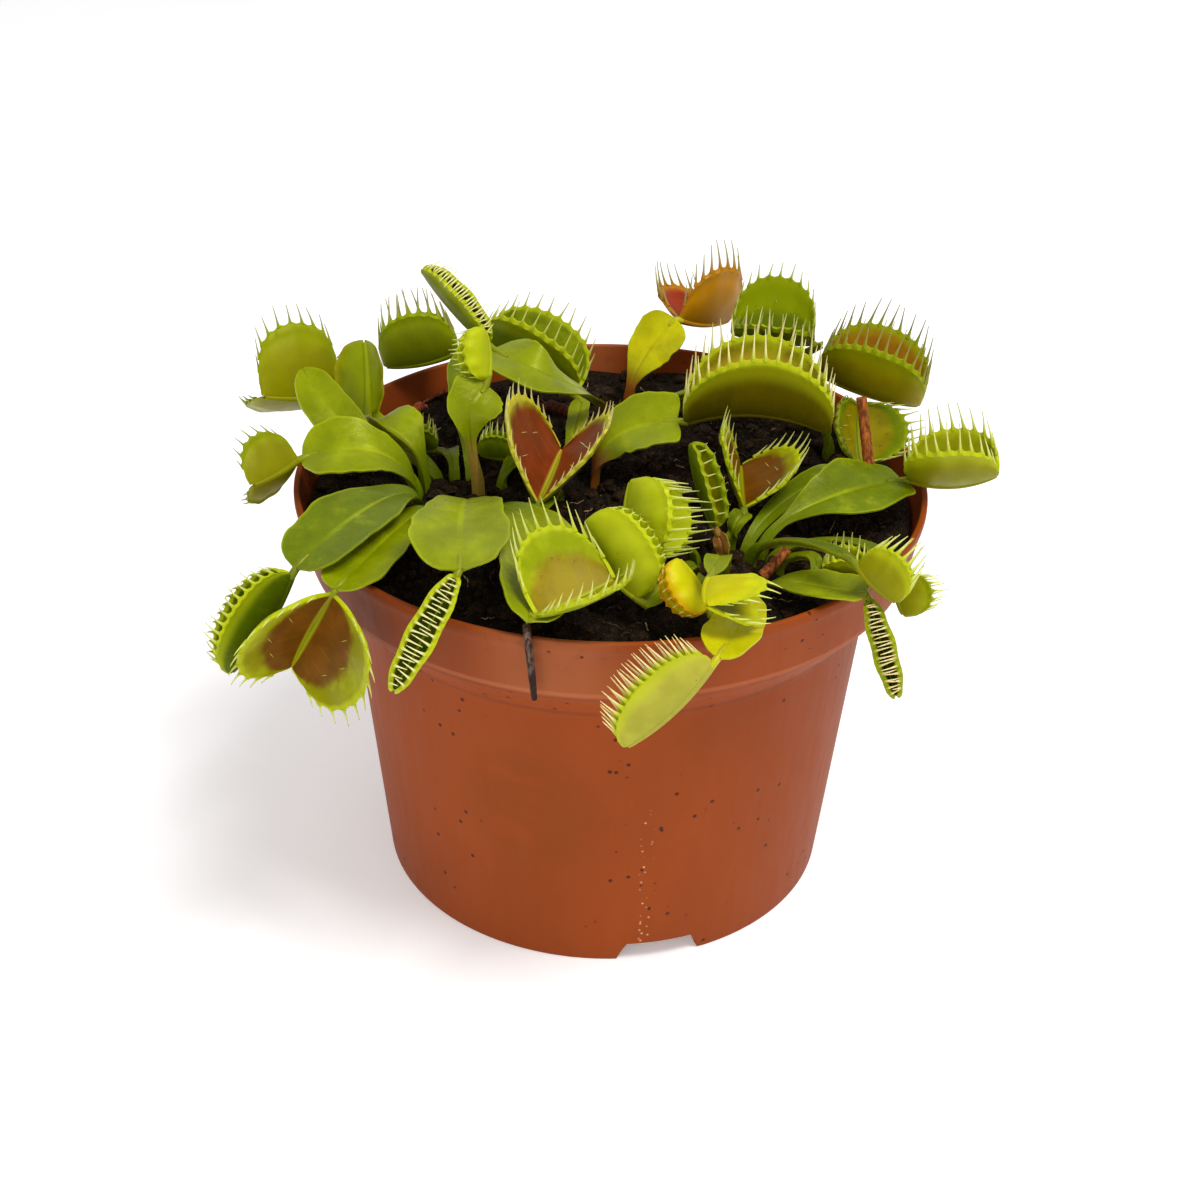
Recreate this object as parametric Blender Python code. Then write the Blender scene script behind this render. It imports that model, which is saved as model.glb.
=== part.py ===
"""Potted venus flytrap: a plastic pot of peat with five crowns of trap leaves.

Sizes below are real sizes in millimetres; the objects are made in metres, +Z up.
The front of the pot faces -Y and its foot stands on z = 0. The origin is the middle of the whole
plant's outline seen from above, so the pot's own axis stands a little beside it.
"""
import math

import bmesh
import bpy
from mathutils import Matrix, Vector

MM = 0.001

# From the pot's axis to the middle of the whole plant
SHIFT = Vector((1.5, 5.8, 0.0))

# Pot
POT_HEIGHT = 82.0
RIM_RADIUS = 60.0
RIM_BAND_HEIGHT = 12.6
RIM_BAND_RADIUS = 57.6
SHOULDER_Z = 61.5
BODY_RADIUS_TOP = 50.4
FOOT_RADIUS = 44.1
WALL = 1.4
LIP = 1.1
FLOOR_Z = 5.0
FLOOR_THICKNESS = 1.6
POT_SEGMENTS = 48
NOTCH_HEIGHT = 4.0
NOTCH_HALF_ANGLE = 9.5
NOTCH_ANGLES = (-75.5, 44.5, 164.5)
DRAIN_RADIUS = 3.0
DRAIN_RING_RADIUS = 27.0
DRAIN_COUNT = 8
DRAIN_SIDES = 8
FOOT_RING = 2.0
FOOT_DRAFT = 0.4
LIP_CHAMFER = 0.4
INNER_SHOULDER_RISE = 0.4
INNER_BAND_RISE = 0.6
NOTCH_LEAN = 1.6
NOTCH_INWARD = 6.0
NOTCH_OUTWARD = 4.0
CUT_OVER = 2.0
GAP = 0.3

# Soil
SOIL_EDGE_Z = 77.0
SOIL_MOUND = 2.6
SOIL_RINGS = 4
SOIL_SEGMENTS = 36
SOIL_ROUGHNESS = 0.8
SOIL_SLACK = 0.2

# Leaves, in millimetres
PIT_DEPTH = 2.4
PIT_MARGIN = 3.6
PIT_SIDES = 16
PIT_OVER = 6.0
CROWN_RING = 4.2
STALK_HALF = 1.0
STALK_THICK = 1.6
BLADE_THICK = 0.75
NECK_HALF = 0.75
NECK_LENGTH = 2.0
NECK_ROOT = 1.3
NECK_TO = (0.4, 1.0)
NECK_RADII = (0.6, 0.75, 0.7, 0.5)
NECK_SIDES = 4
MIDRIB_THICK = 0.8
NEAR_END = 0.01
BARE_END = 0.1
LOBE_THICK = 0.65
TOOTH_BASE = 0.8
OVERHANG = 0.1
BOW = 0.06
LOBE_ROUND = 0.8
LOBE_MIDDLE = 0.55
TOOTH_CURL = 15
TOOTH_END_SHARE = 0.6
BROADEST = 0.8
HEART = 0.3
KEEL = 0.15
STALK_END = 0.5
MIN_LEAN = 0.62
BLADE_ROWS = (0.0, 0.17, 0.4, 0.64, 0.85, 1.0)
BLADE_COLUMNS = (-1.0, -0.5, 0.0, 0.5, 1.0)
LOBE_STEPS = 4
VIEW_TILT = math.radians(31.3)

# Crown centres on the soil
CROWNS = {
    "left": (-28, -4),
    "back": (0, 33),
    "mid": (-8, 2),
    "front": (23, -28),
    "right": (46, 16),
}

# Each leaf stands on a ring round its crown at the angle "turn" (degrees, 0 = right, -90 = front),
# rises by "lift", passes near "bend" and ends at "neck", where its trap hangs (x, y, z in mm).
# "face", "along" and "opens" are directions as seen from the front and above: right, up, near.
LEAVES = (
    # Left crown
    dict(name="leaf_left_tall", crown="left", turn=40, ring=3.0, lift=14, bend=(-28.6, -4, 96),
         neck=(-23.5, 3, 98.7), half=5.3, waist=0.45, face=(0.1, 0.2, 1.0), size=(8.5, 5.5),
         along=(-0.1, 1.0, 0.0), opens=(-0.9, 0.0, 0.4), gape=10, bulge=30, teeth=5, tooth=2.5,
         hue="lime"),
    dict(name="leaf_left_heart", crown="left", turn=286, ring=8.0, lift=10, bend=(-27, -34, 95),
         neck=(-25, -53, 92), half=8.5, waist=0.2, face=(0.0, 0.5, 0.9), size=(21, 6.5),
         along=(-0.45, -0.88, 0.1), opens=(0.0, 0.0, 1.0), gape=14, bulge=24, teeth=10, tooth=4.0,
         curl=60, hue="lime"),
    dict(name="leaf_left_low_1", crown="left", turn=209, ring=8.0, lift=10, bend=(-45, -31, 91.5),
         neck=(-54.5, -42, 85.2), half=7.0, waist=0.15, heart=0.1, face=(-0.1, 0.7, 0.8),
         size=(19.5, 7.8), along=(-0.52, -0.85, -0.1), opens=(-0.75, 0.45, 0.5), gape=9, bulge=24,
         teeth=9, tooth=4.0, curl=60, hue="green"),
    dict(name="leaf_left_low_2", crown="left", turn=236, ring=8.0, lift=7.5, bend=(-40.5, -34, 86),
         neck=(-47, -46, 83.5), half=5.5, waist=0.15, face=(-0.1, 0.7, 0.8), size=(19, 16),
         along=(-0.4, -0.62, -0.55), opens=(0.0, -0.6, 0.8), gape=42, bulge=12, overhang=0.35, teeth=8,
         tooth=4.0, hue="orange"),
    dict(name="leaf_left_side", crown="left", turn=189, ring=8.0, lift=9, bend=(-43, -9, 95),
         neck=(-57, -9, 89.5), half=6.5, waist=0.2, face=(0.0, 0.7, 0.8), size=(11, 8),
         along=(-0.6, -0.45, 0.66), opens=(-0.8, 0.27, -0.54), gape=51, bulge=15, teeth=6, tooth=2.5,
         hue="lime"),
    dict(name="leaf_left_bare", crown="left", turn=168, ring=8.0, lift=8, bend=(-50.7, 1.2, 85.6),
         neck=(-58, 4.5, 100.8), half=4.3, waist=0.45, face=(0.4, 0.0, 0.9), hue="lime"),
    dict(name="leaf_left_standing", crown="left", turn=126, ring=8.0, lift=7, bend=(-44, 6.5, 82.5),
         neck=(-53, 21, 88), half=3.0, waist=0.2, heart=0.0, face=(0.0, 0.6, 0.8), size=(14.5, 14.5),
         along=(-0.85, -0.1, 0.5), opens=(-0.55, 0.65, -0.5), gape=46, bulge=18, overhang=0.35, teeth=9,
         tooth=5.0, hue="lime"),
    dict(name="leaf_left_keeled", crown="left", turn=147, ring=8.0, lift=9, bend=(-41, 2.5, 91),
         neck=(-46.6, 7, 88.9), half=4.6, waist=0.2, keel=0.5, skew=0.5, face=(0.6, 0.5, 0.4),
         size=(13, 8), along=(-0.07, 1.0, 0.0), opens=(-0.35, 0.1, -0.93), gape=30, bulge=20, teeth=7,
         tooth=3.0, hue="lime"),
    dict(name="leaf_left_back", crown="left", turn=82, ring=8.0, lift=8, bend=(-31, 24, 84),
         neck=(-30, 38, 90.2), half=3.0, waist=0.4, face=(0.0, 0.9, 0.2), size=(14.5, 11),
         along=(-0.95, -0.2, -0.1), opens=(-0.1, 1.0, 0.15), gape=20, bulge=26, teeth=8, tooth=5.5,
         hue="green"),
    dict(name="leaf_left_small_1", crown="left", turn=104, ring=8.0, lift=6, bend=(-31, 8.5, 83),
         neck=(-32.6, 12.0, 80.6), half=2.0, waist=0.4, face=(0.0, 0.9, 0.4), size=(6, 5),
         along=(-1.0, 0.1, 0.0), opens=(0.0, 1.0, 0.3), gape=20, bulge=24, teeth=6, tooth=2.5,
         hue="green"),
    dict(name="leaf_left_under", crown="left", turn=261, ring=8.0, lift=5, bend=(-29.8, -16, 82),
         neck=(-29.6, -19, 81.6), half=2.0, waist=0.2, face=(0.3, 0.5, 0.9), size=(10, 2.8),
         along=(-0.12, -0.5, 0.83), opens=(-0.5, 0.6, 0.5), gape=12, bulge=22, teeth=7, tooth=2.0,
         hue="green"),
    dict(name="leaf_left_small_2", crown="left", turn=35, ring=8.0, lift=4, bend=(-18.5, 3.5, 83.5),
         neck=(-17.2, 6.8, 82.0), half=2.0, waist=0.4, face=(0.0, 0.9, 0.4), size=(6, 5),
         along=(-1.0, 0.1, 0.0), opens=(0.0, 1.0, 0.3), gape=20, bulge=24, teeth=7, tooth=2.5,
         hue="green"),
    dict(name="leaf_left_wide", crown="left", turn=312, ring=8.0, lift=8, bend=(-6, -31, 88),
         neck=(-13.4, -59.5, 86.4), half=8.0, waist=0.2, face=(0.2, 0.6, 0.8), size=(15, 14),
         along=(0.83, 0.4, -0.4), opens=(-0.35, 0.6, 0.7), gape=48, bulge=14, teeth=10, tooth=5.5,
         hue="pale"),
    # Back crown
    dict(name="leaf_back_high", crown="back", turn=270, lift=10, bend=(-9, -4, 102),
         neck=(-23, 16.5, 100.2), half=6.0, waist=0.3, broad=0.93, face=(0.1, 0.7, 0.8), size=(18, 6.4),
         along=(-0.68, 0.73, 0.0), opens=(0.35, 0.35, 0.87), gape=4, bulge=28, teeth=10, tooth=3.5,
         curl=70, hue="lime"),
    dict(name="leaf_back_right", crown="back", turn=45, lift=10, bend=(8, 40, 90),
         neck=(12.4, 42, 96.0), half=6.0, waist=0.3, heart=0.1, face=(-0.2, 0.5, 0.9), size=(14.5, 13),
         along=(0.7, 0.1, -0.7), opens=(-0.5, 0.75, 0.35), gape=38, bulge=22, teeth=9, tooth=5.5,
         hue="lime"),
    dict(name="leaf_back_low", crown="mid", turn=95, lift=6, bend=(-6.5, 20, 84.5), neck=(-6, 28, 84.5),
         half=2.0, waist=0.3, face=(0.0, 0.9, 0.4), size=(21.5, 13), along=(-0.85, 0.5, -0.1),
         opens=(0.3, 0.85, 0.4), gape=28, bulge=22, teeth=9, tooth=4.0, hue="lime"),
    dict(name="leaf_right_back", crown="back", turn=-20, lift=8, bend=(26, 30, 86),
         neck=(40.5, 24, 99.5), half=2.5, waist=0.3, face=(0.0, 0.9, 0.3), size=(15, 12.5),
         along=(-0.98, 0.1, 0.0), opens=(0.0, 0.62, 0.78), gape=32, bulge=18, teeth=9, tooth=4.0,
         hue="green"),
    # Middle crown
    dict(name="leaf_mid_red", crown="mid", turn=246, lift=5, bend=(-11.5, -12, 84.2),
         neck=(-13.6, -16.2, 83.4), half=2.6, waist=0.3, face=(0.0, 0.9, 0.4), size=(18, 18),
         along=(0.2, 0.58, -0.75), opens=(0.15, 0.87, 0.43), gape=30, bulge=14, teeth=11, tooth=3.5,
         hue="red"),
    dict(name="leaf_mid_broad", crown="mid", turn=0, lift=10, bend=(1, 4, 91), neck=(12.2, 3.6, 92.2),
         half=7.5, waist=0.15, heart=0.45, face=(0.0, 0.7, 0.8), size=(26.5, 15),
         along=(1.0, -0.05, 0.0), opens=(0.0, 0.9, 0.42), gape=27, bulge=24, bow=-0.1, overhang=0.2,
         teeth=13, tooth=6.0, hue="green"),
    # Front crown
    dict(name="leaf_mid_front", crown="front", turn=160, ring=7.0, lift=6, bend=(10, -30, 86),
         neck=(3.8, -38, 84), half=2.5, waist=0.2, face=(0.0, 0.9, 0.4), size=(13, 11.5),
         along=(0.0, 1.0, -0.1), opens=(0.94, 0.1, 0.33), gape=25, bulge=24, teeth=9, tooth=5.0,
         hue="lime"),
    dict(name="leaf_mid_crescent", crown="front", turn=186, ring=7.0, lift=6, bend=(12, -40, 85),
         neck=(6.0, -48, 82.5), half=2.5, waist=0.2, face=(0.0, 0.9, 0.4), size=(15, 10),
         along=(-0.58, 0.8, 0.0), opens=(0.8, 0.55, 0.25), gape=10, bulge=30, bow=0.1, teeth=9,
         tooth=1.6, curl=50, hue="lime"),
    dict(name="leaf_front_long", crown="front", turn=54, ring=7.0, lift=9, bend=(41.5, -15, 88.5),
         neck=(54.5, -4, 84.5), half=7.0, waist=0.42, face=(0.0, 0.7, 0.8), size=(16, 10.5),
         along=(0.92, 0.05, 0.35), opens=(-0.1, 0.88, 0.45), gape=28, bulge=22, bow=0.1, teeth=8,
         tooth=5.5, hue="lime"),
    dict(name="leaf_front_behind", crown="front", turn=76, ring=7.0, lift=7, bend=(36.8, -6, 87),
         neck=(47.6, 4.6, 81.6), half=3.4, waist=0.2, face=(0.0, 0.9, 0.5), size=(11, 10),
         along=(0.0, 0.95, -0.2), opens=(0.42, 0.2, 0.88), gape=50, bulge=14, teeth=9, tooth=4.0,
         hue="green"),
    dict(name="leaf_front_orange", crown="front", turn=98, ring=7.0, lift=5, bend=(22.3, -21, 84.3),
         neck=(24.6, -17.9, 84.4), half=2.2, waist=0.3, face=(0.0, 0.9, 0.4), size=(14.5, 12.8),
         along=(0.0, 0.55, -0.8), opens=(0.3, 0.88, 0.35), gape=34, bulge=14, teeth=9, tooth=4.5,
         hue="orange"),
    dict(name="leaf_front_edge", crown="front", turn=305, ring=7.0, lift=6, bend=(38, -45, 84),
         neck=(44, -47, 85.5), half=4.8, waist=0.1, face=(0.0, 0.8, 0.6), size=(16.5, 5),
         along=(0.28, -0.95, 0.05), opens=(-0.1, 0.1, 1.0), gape=12, bulge=24, teeth=9, tooth=3.5,
         curl=60, hue="green"),
    dict(name="leaf_front_stalk", crown="front", turn=150, ring=3.0, lift=4, bend=(20.6, -27.2, 82.4),
         neck=(19.4, -25.0, 83.6), half=1.5, waist=0.2, face=(-0.5, 0.0, 0.9), size=(14.5, 4.4),
         along=(-0.3, 0.95, 0.0), opens=(0.6, 0.2, 0.75), gape=16, bulge=24, teeth=5, tooth=2.2,
         curl=30, hue="lime"),
    dict(name="leaf_front_left", crown="front", turn=212, ring=7.0, lift=5, bend=(15.8, -44, 85),
         neck=(17.5, -53, 83.5), half=1.6, waist=0.1, heart=0.0, face=(0.0, 0.8, 0.6), size=(9, 6),
         along=(-0.55, 0.83, 0.0), opens=(-0.75, -0.5, 0.4), gape=10, bulge=26, teeth=6, tooth=1.2,
         curl=50, hue="yellow"),
    dict(name="leaf_front_mouth", crown="front", turn=246, ring=7.0, lift=8, bend=(19, -45, 94),
         neck=(17, -54, 92.5), half=2.2, waist=0.1, heart=0.0, face=(0.0, 0.8, 0.6), size=(6.5, 10),
         along=(-0.1, -0.6, 0.8), opens=(0.95, -0.15, 0.0), gape=18, bulge=20, teeth=7, tooth=3.0,
         hue="pale"),
    dict(name="leaf_front_hanging", crown="front", turn=273, ring=7.0, lift=5, bend=(25.5, -52, 87),
         neck=(18, -66, 84), half=4.8, waist=0.5, face=(0.0, 0.8, 0.6), size=(19, 7.2),
         along=(-0.7, -0.7, 0.0), opens=(-0.72, 0.68, 0.1), gape=10, bulge=28, teeth=12, tooth=5.0,
         hue="pale"),
    dict(name="leaf_front_tiny", crown="front", turn=10, ring=7.0, lift=5, bend=(39, -27.5, 83.6),
         neck=(36.2, -34.9, 82.0), half=1.2, waist=0.3, face=(0.0, 0.9, 0.4), size=(6.8, 5.5),
         along=(0.95, -0.05, 0.0), opens=(0.0, 1.0, 0.6), gape=20, bulge=26, teeth=6, tooth=3.5,
         hue="lime"),
    dict(name="leaf_front_bulb", crown="front", turn=55, ring=3.4, lift=9, bend=(36, -36, 90),
         neck=(41, -47, 92), half=1.2, waist=0.3, face=(0.0, 0.9, 0.4), size=(8.5, 7),
         along=(0.65, -0.6, 0.2), opens=(0.55, 0.8, 0.1), gape=20, bulge=26, teeth=8, tooth=4.0,
         hue="lime"),
    dict(name="leaf_front_rim", crown="front", turn=32, ring=7.0, lift=6, bend=(46.5, -24, 86.5),
         neck=(49.8, -40, 86), half=1.2, waist=0.3, face=(0.0, 0.9, 0.4), size=(6, 6),
         along=(0.2, -0.9, 0.0), opens=(0.95, -0.2, 0.0), gape=22, bulge=24, teeth=6, tooth=3.0,
         hue="lime"),
    # Right crown
    dict(name="leaf_right_brown", crown="right", turn=120, lift=5, bend=(41, 20, 88),
         neck=(38.5, 20, 96), half=2.5, waist=0.3, face=(0.0, 0.9, 0.3), size=(20, 13.5),
         along=(0.9, -0.3, 0.1), opens=(0.32, 0.75, 0.5), gape=26, bulge=22, teeth=11, tooth=6.0,
         hue="orange"),
)


def smooth(low, high, value):
    """Ease from 0 at low to 1 at high."""
    t = min(max((value - low) / (high - low), 0.0), 1.0)
    return t * t * (3.0 - 2.0 * t)


def seen(direction):
    """Turn a direction seen from the front (right, up, near) into world axes."""
    right, up, near = direction
    tilt_sin, tilt_cos = math.sin(VIEW_TILT), math.cos(VIEW_TILT)
    return Vector((right, up * tilt_sin - near * tilt_cos, up * tilt_cos + near * tilt_sin)).normalized()


def square_to(direction, axis):
    """The part of a direction that is square to an axis, at unit length."""
    return (direction - axis * direction.dot(axis)).normalized()


def soil_height(x, y):
    """Height of the peat: a low mound with soft lumps."""
    radius = math.hypot(x, y) / RIM_RADIUS
    lumps = math.sin(0.21 * x + 1.3) * math.cos(0.17 * y) + 0.6 * math.sin(0.33 * y - 0.29 * x)
    return SOIL_EDGE_Z + SOIL_MOUND * (1.0 - radius * radius) + 0.5 * SOIL_ROUGHNESS * lumps


def pit_floor(crown):
    """Height of the bottom of the hole that a crown's stalks stand in."""
    return soil_height(*CROWNS[crown]) - PIT_DEPTH


def stalk_path(leaf):
    """The four control points of a leaf's centre line."""
    turn = math.radians(leaf["turn"])
    crown_x, crown_y = CROWNS[leaf["crown"]]
    ring = leaf.get("ring", CROWN_RING)
    x = crown_x + ring * math.cos(turn)
    y = crown_y + ring * math.sin(turn)
    foot = Vector((x, y, pit_floor(leaf["crown"]) + GAP))
    return foot, foot + Vector((0, 0, leaf["lift"])), Vector(leaf["bend"]), Vector(leaf["neck"])


def path_point(points, u):
    """Point and direction on the centre line at u from 0 to 1."""
    a, b, c, d = points
    v = 1.0 - u
    place = a * v ** 3 + b * 3 * v * v * u + c * 3 * v * u * u + d * u ** 3
    heading = (b - a) * v * v + (c - b) * 2 * v * u + (d - c) * u * u
    return place, heading.normalized()


def blade_half_width(leaf, u):
    """Half the width of the leaf stalk at u: slim at the crown, broad and round before the trap."""
    broad = leaf.get("broad", BROADEST)
    half = STALK_HALF + (leaf["half"] - STALK_HALF) * smooth(leaf["waist"] - 0.1, broad, u)
    if u > broad:
        half *= math.sqrt(max(0.0, 1.0 - ((u - broad) / (1.0 - broad)) ** 2))
    return max(half, NECK_HALF)


def trap_axes(leaf):
    """Unit axes of a trap: along its midrib, out of its mouth and across."""
    along = seen(leaf["along"])
    mouth = square_to(seen(leaf["opens"]), along)
    return along, mouth, along.cross(mouth)


def lobe_point(leaf, side, phi, k):
    """Point of one lobe: phi runs from neck (0) to tip (pi), k from midrib (0) to rim (1)."""
    length, depth = leaf["size"]
    along, mouth, across = trap_axes(leaf)
    reach = (1.0 + leaf.get("overhang", OVERHANG) * k * math.sin(phi)) * math.cos(phi)
    x = 0.5 * length * (1.0 - reach)
    t = min(max(x / length, 0.0), 1.0)
    start = Vector(leaf["neck"]) + along * (NECK_LENGTH + x)
    start -= mouth * leaf.get("bow", BOW) * length * 4.0 * t * (1.0 - t)
    gape = math.radians(leaf["gape"])
    bulge = math.radians(leaf["bulge"])
    first = gape + bulge
    last = first - 2.0 * bulge * k
    local = depth * max(math.sin(phi), 0.0) ** LOBE_ROUND / (2.0 * bulge)
    out = local * (math.sin(first) - math.sin(last))
    away = local * (math.cos(last) - math.cos(first))
    return start + mouth * out + across * (side * away)


def rim_angles(leaf, side, fractions):
    """The phi values that lie at the given fractions of the rim's length."""
    count = 48
    angles = [math.pi * i / count for i in range(count + 1)]
    points = [lobe_point(leaf, side, phi, 1.0) for phi in angles]
    lengths = [0.0]
    for a, b in zip(points, points[1:]):
        lengths.append(lengths[-1] + (b - a).length)
    found = []
    for fraction in fractions:
        target = fraction * lengths[-1]
        i = max(j for j in range(count) if lengths[j] <= target)
        step = (target - lengths[i]) / (lengths[i + 1] - lengths[i])
        found.append(angles[i] + (angles[i + 1] - angles[i]) * step)
    return found, lengths[-1]


def tooth_centres(leaf, side):
    """Teeth of the two lobes alternate, so that they interlock when the trap shuts."""
    count = leaf["teeth"]
    if side > 0:
        places = [(i + 0.5) / count for i in range(count)]
    else:
        places = [(i + 1.0) / count for i in range(count - 1)]
    return [BARE_END + (1.0 - 2.0 * BARE_END) * place for place in places]


class Sheet:
    """A leaf's middle surface: points with a thickness, triangles, and rim edges that carry a tooth."""

    def __init__(self):
        self.points = []
        self.thickness = []
        self.triangles = []
        self.teeth = {}
        self.level = ()

    def add(self, point, thickness):
        self.points.append(point)
        self.thickness.append(thickness)
        return len(self.points) - 1

    def join(self, left, right, left_at, right_at, flip):
        """Fill the strip between two chains of points that have their own spacing."""
        i = j = 0
        while i < len(left) - 1 or j < len(right) - 1:
            if j == len(right) - 1 or (i < len(left) - 1 and left_at[i + 1] <= right_at[j + 1]):
                triangle = (left[i], right[j], left[i + 1])
                i += 1
            else:
                triangle = (left[i], right[j], right[j + 1])
                j += 1
            if len(set(triangle)) == 3:
                self.triangles.append(triangle[::-1] if flip else triangle)

    def normals(self):
        """Unit normals and the stretch that keeps the sheet's thickness at folds."""
        total = [Vector() for _ in self.points]
        faces = []
        for a, b, c in self.triangles:
            normal = (self.points[b] - self.points[a]).cross(self.points[c] - self.points[a])
            faces.append(normal.normalized())
            for index in (a, b, c):
                total[index] += normal
        unit = [normal.normalized() for normal in total]
        lean = [1.0] * len(unit)
        for face, corners in zip(faces, self.triangles):
            for index in corners:
                lean[index] = min(lean[index], max(face.dot(unit[index]), MIN_LEAN))
        return unit, lean

    def solid(self):
        """Front, back, walls and teeth as one closed list of triangles."""
        unit, lean = self.normals()
        count = len(self.points)
        points = list(self.points)
        points += [p - n * (t / s) for p, n, t, s in zip(self.points, unit, self.thickness, lean)]
        for i in self.level:
            points[i + count].z = points[i].z
        faces = list(self.triangles)
        faces += [(c + count, b + count, a + count) for a, b, c in self.triangles]
        edges = {}
        for a, b, c in self.triangles:
            edges.update({(a, b): True, (b, c): True, (c, a): True})
        for a, b in edges:
            if (b, a) in edges:
                continue
            low_a, low_b = a + count, b + count
            if (a, b) not in self.teeth:
                faces += [(b, a, low_a), (b, low_a, low_b)]
                continue
            length, curl, outward = self.teeth[(a, b)]
            middle = (points[a] + points[b] + points[low_a] + points[low_b]) * 0.25
            outward = square_to(outward, (points[b] - points[a]).normalized())
            inward = (unit[a] + unit[b]).normalized()
            apex = len(points)
            points.append(middle + (outward * math.cos(curl) + inward * math.sin(curl)) * length)
            faces += [(b, a, apex), (a, low_a, apex), (low_a, low_b, apex), (low_b, b, apex)]
        return points, faces


def row_of_points(sheet, place, side, normal, half, thickness, forward, lift, skew):
    """One row across a leaf; its edges lean forward and lift off the middle line."""
    row = []
    for column in BLADE_COLUMNS:
        x = half * column * (1.0 + math.copysign(skew, column))
        row.append(sheet.add(place + side * x + forward * abs(x) + normal * (lift * abs(x)), thickness))
    return row


def blade_sheet(leaf):
    """The leaf stalk and broad blade, narrowing to the neck."""
    sheet = Sheet()
    path = stalk_path(leaf)
    turn = math.radians(leaf["turn"])
    inward = Vector((-math.cos(turn), -math.sin(turn), 0))
    face = seen(leaf["face"])
    rows = []
    for u in BLADE_ROWS:
        place, heading = path_point(path, u)
        normal = square_to(inward.lerp(face, smooth(0.0, 0.45, u)), heading)
        side = heading.cross(normal)
        thickness = STALK_THICK + (BLADE_THICK - STALK_THICK) * smooth(0.0, STALK_END, u)
        forward = heading * (leaf.get("heart", HEART) * smooth(0.6, 0.95, u))
        lift = leaf.get("keel", KEEL) * smooth(0.1, 0.4, u)
        half = blade_half_width(leaf, u)
        skew = leaf.get("skew", 0.0) * smooth(0.2, 0.6, u)
        rows.append(row_of_points(sheet, place, side, normal, half, thickness, forward, lift, skew))
    for last, row in zip(rows, rows[1:]):
        sheet.join(last, row, BLADE_COLUMNS, BLADE_COLUMNS, True)
    sheet.level = rows[0]
    return sheet


def trap_sheet(leaf):
    """Both lobes, hinged on the midrib, with a row of teeth on each rim."""
    sheet = Sheet()
    angles = [math.pi * i / LOBE_STEPS for i in range(LOBE_STEPS + 1)]
    between = [0.5 * (a + b) for a, b in zip(angles[1:], angles[2:-1])]
    switch_at = [0.0, NEAR_END, *between, math.pi - NEAR_END]
    middle = [sheet.add(lobe_point(leaf, 1, phi, 0.0), MIDRIB_THICK) for phi in angles]
    ends = middle[0], middle[-1]
    for side in (1, -1):
        inner = [lobe_point(leaf, side, phi, LOBE_MIDDLE) for phi in angles[1:-1]]
        halfway = [ends[0], *[sheet.add(point, LOBE_THICK) for point in inner], ends[1]]
        sheet.join(middle, halfway, angles, angles, side < 0)
        centres = tooth_centres(leaf, side)
        half_base = 0.5 * TOOTH_BASE / rim_angles(leaf, side, [0.5])[1]
        places = [place + shift for place in centres for shift in (-half_base, half_base)]
        rim_at = rim_angles(leaf, side, places)[0]
        rim = [sheet.add(lobe_point(leaf, side, phi, 1.0), LOBE_THICK) for phi in rim_at]
        rim = [ends[0], *rim, ends[1]]
        sheet.join(halfway, rim, switch_at, [0.0, *rim_at, math.pi], side < 0)
        for i, place in enumerate(centres):
            a, b = rim[2 * i + 1], rim[2 * i + 2]
            swell = math.sin(math.pi * place)
            length = leaf["tooth"] * (TOOTH_END_SHARE + (1.0 - TOOTH_END_SHARE) * swell)
            curl = math.radians(leaf.get("curl", TOOTH_CURL)) * swell ** 0.5
            phi = rim_at[2 * i]
            outward = lobe_point(leaf, side, phi, 1.0) - lobe_point(leaf, side, phi, 0.9)
            sheet.teeth[(a, b) if side > 0 else (b, a)] = (length, curl, outward)
    return sheet


def rod(points, radii, sides):
    """A round bar along a line of points; returns its points and faces."""
    corners = []
    faces = []
    side = Vector((0.31, 0.87, 0.39))
    for i, (place, radius) in enumerate(zip(points, radii)):
        heading = (points[min(i + 1, len(points) - 1)] - points[max(i - 1, 0)]).normalized()
        side = square_to(side, heading)
        other = heading.cross(side)
        for j in range(sides):
            angle = 2 * math.pi * j / sides
            corners.append(place + (side * math.cos(angle) + other * math.sin(angle)) * radius)
    for i in range(len(points) - 1):
        for j in range(sides):
            a, b = i * sides + j, i * sides + (j + 1) % sides
            faces += [(a, b, b + sides), (a, b + sides, a + sides)]
    faces.append(tuple(range(sides))[::-1])
    faces.append(tuple(range(len(corners) - sides, len(corners))))
    return corners, faces


def wrapped(points):
    """The tightest closed shape without hollows around a set of points."""
    shape = bmesh.new()
    for point in points:
        shape.verts.new(point)
    found = bmesh.ops.convex_hull(shape, input=shape.verts)
    inside = found["geom_interior"] + found["geom_unused"]
    spare = [part for part in inside if isinstance(part, bmesh.types.BMVert)]
    bmesh.ops.delete(shape, geom=list(set(spare)), context="VERTS")
    shape.verts.index_update()
    corners = [vert.co.copy() for vert in shape.verts]
    faces = [[vert.index for vert in face.verts] for face in shape.faces]
    shape.free()
    return corners, faces


def neck(leaf):
    """The short neck, from inside the end of the blade to the back of the trap's midrib."""
    path = stalk_path(leaf)
    mouth = trap_axes(leaf)[1]
    points = []
    root = 1.0 - NECK_ROOT / (3.0 * (path[3] - path[2]).length)
    for u in (root, 1.0):
        place, heading = path_point(path, u)
        normal = square_to(seen(leaf["face"]), heading)
        points.append(place - normal * (0.5 * BLADE_THICK))
    inset = mouth * (0.5 * MIDRIB_THICK)
    near = lobe_point(leaf, 1, 0.0, 0.0) - inset
    next_on = lobe_point(leaf, 1, math.pi / LOBE_STEPS, 0.0) - inset
    points += [near.lerp(next_on, share) for share in NECK_TO]
    return wrapped(rod(points, NECK_RADII, NECK_SIDES)[0])


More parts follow.
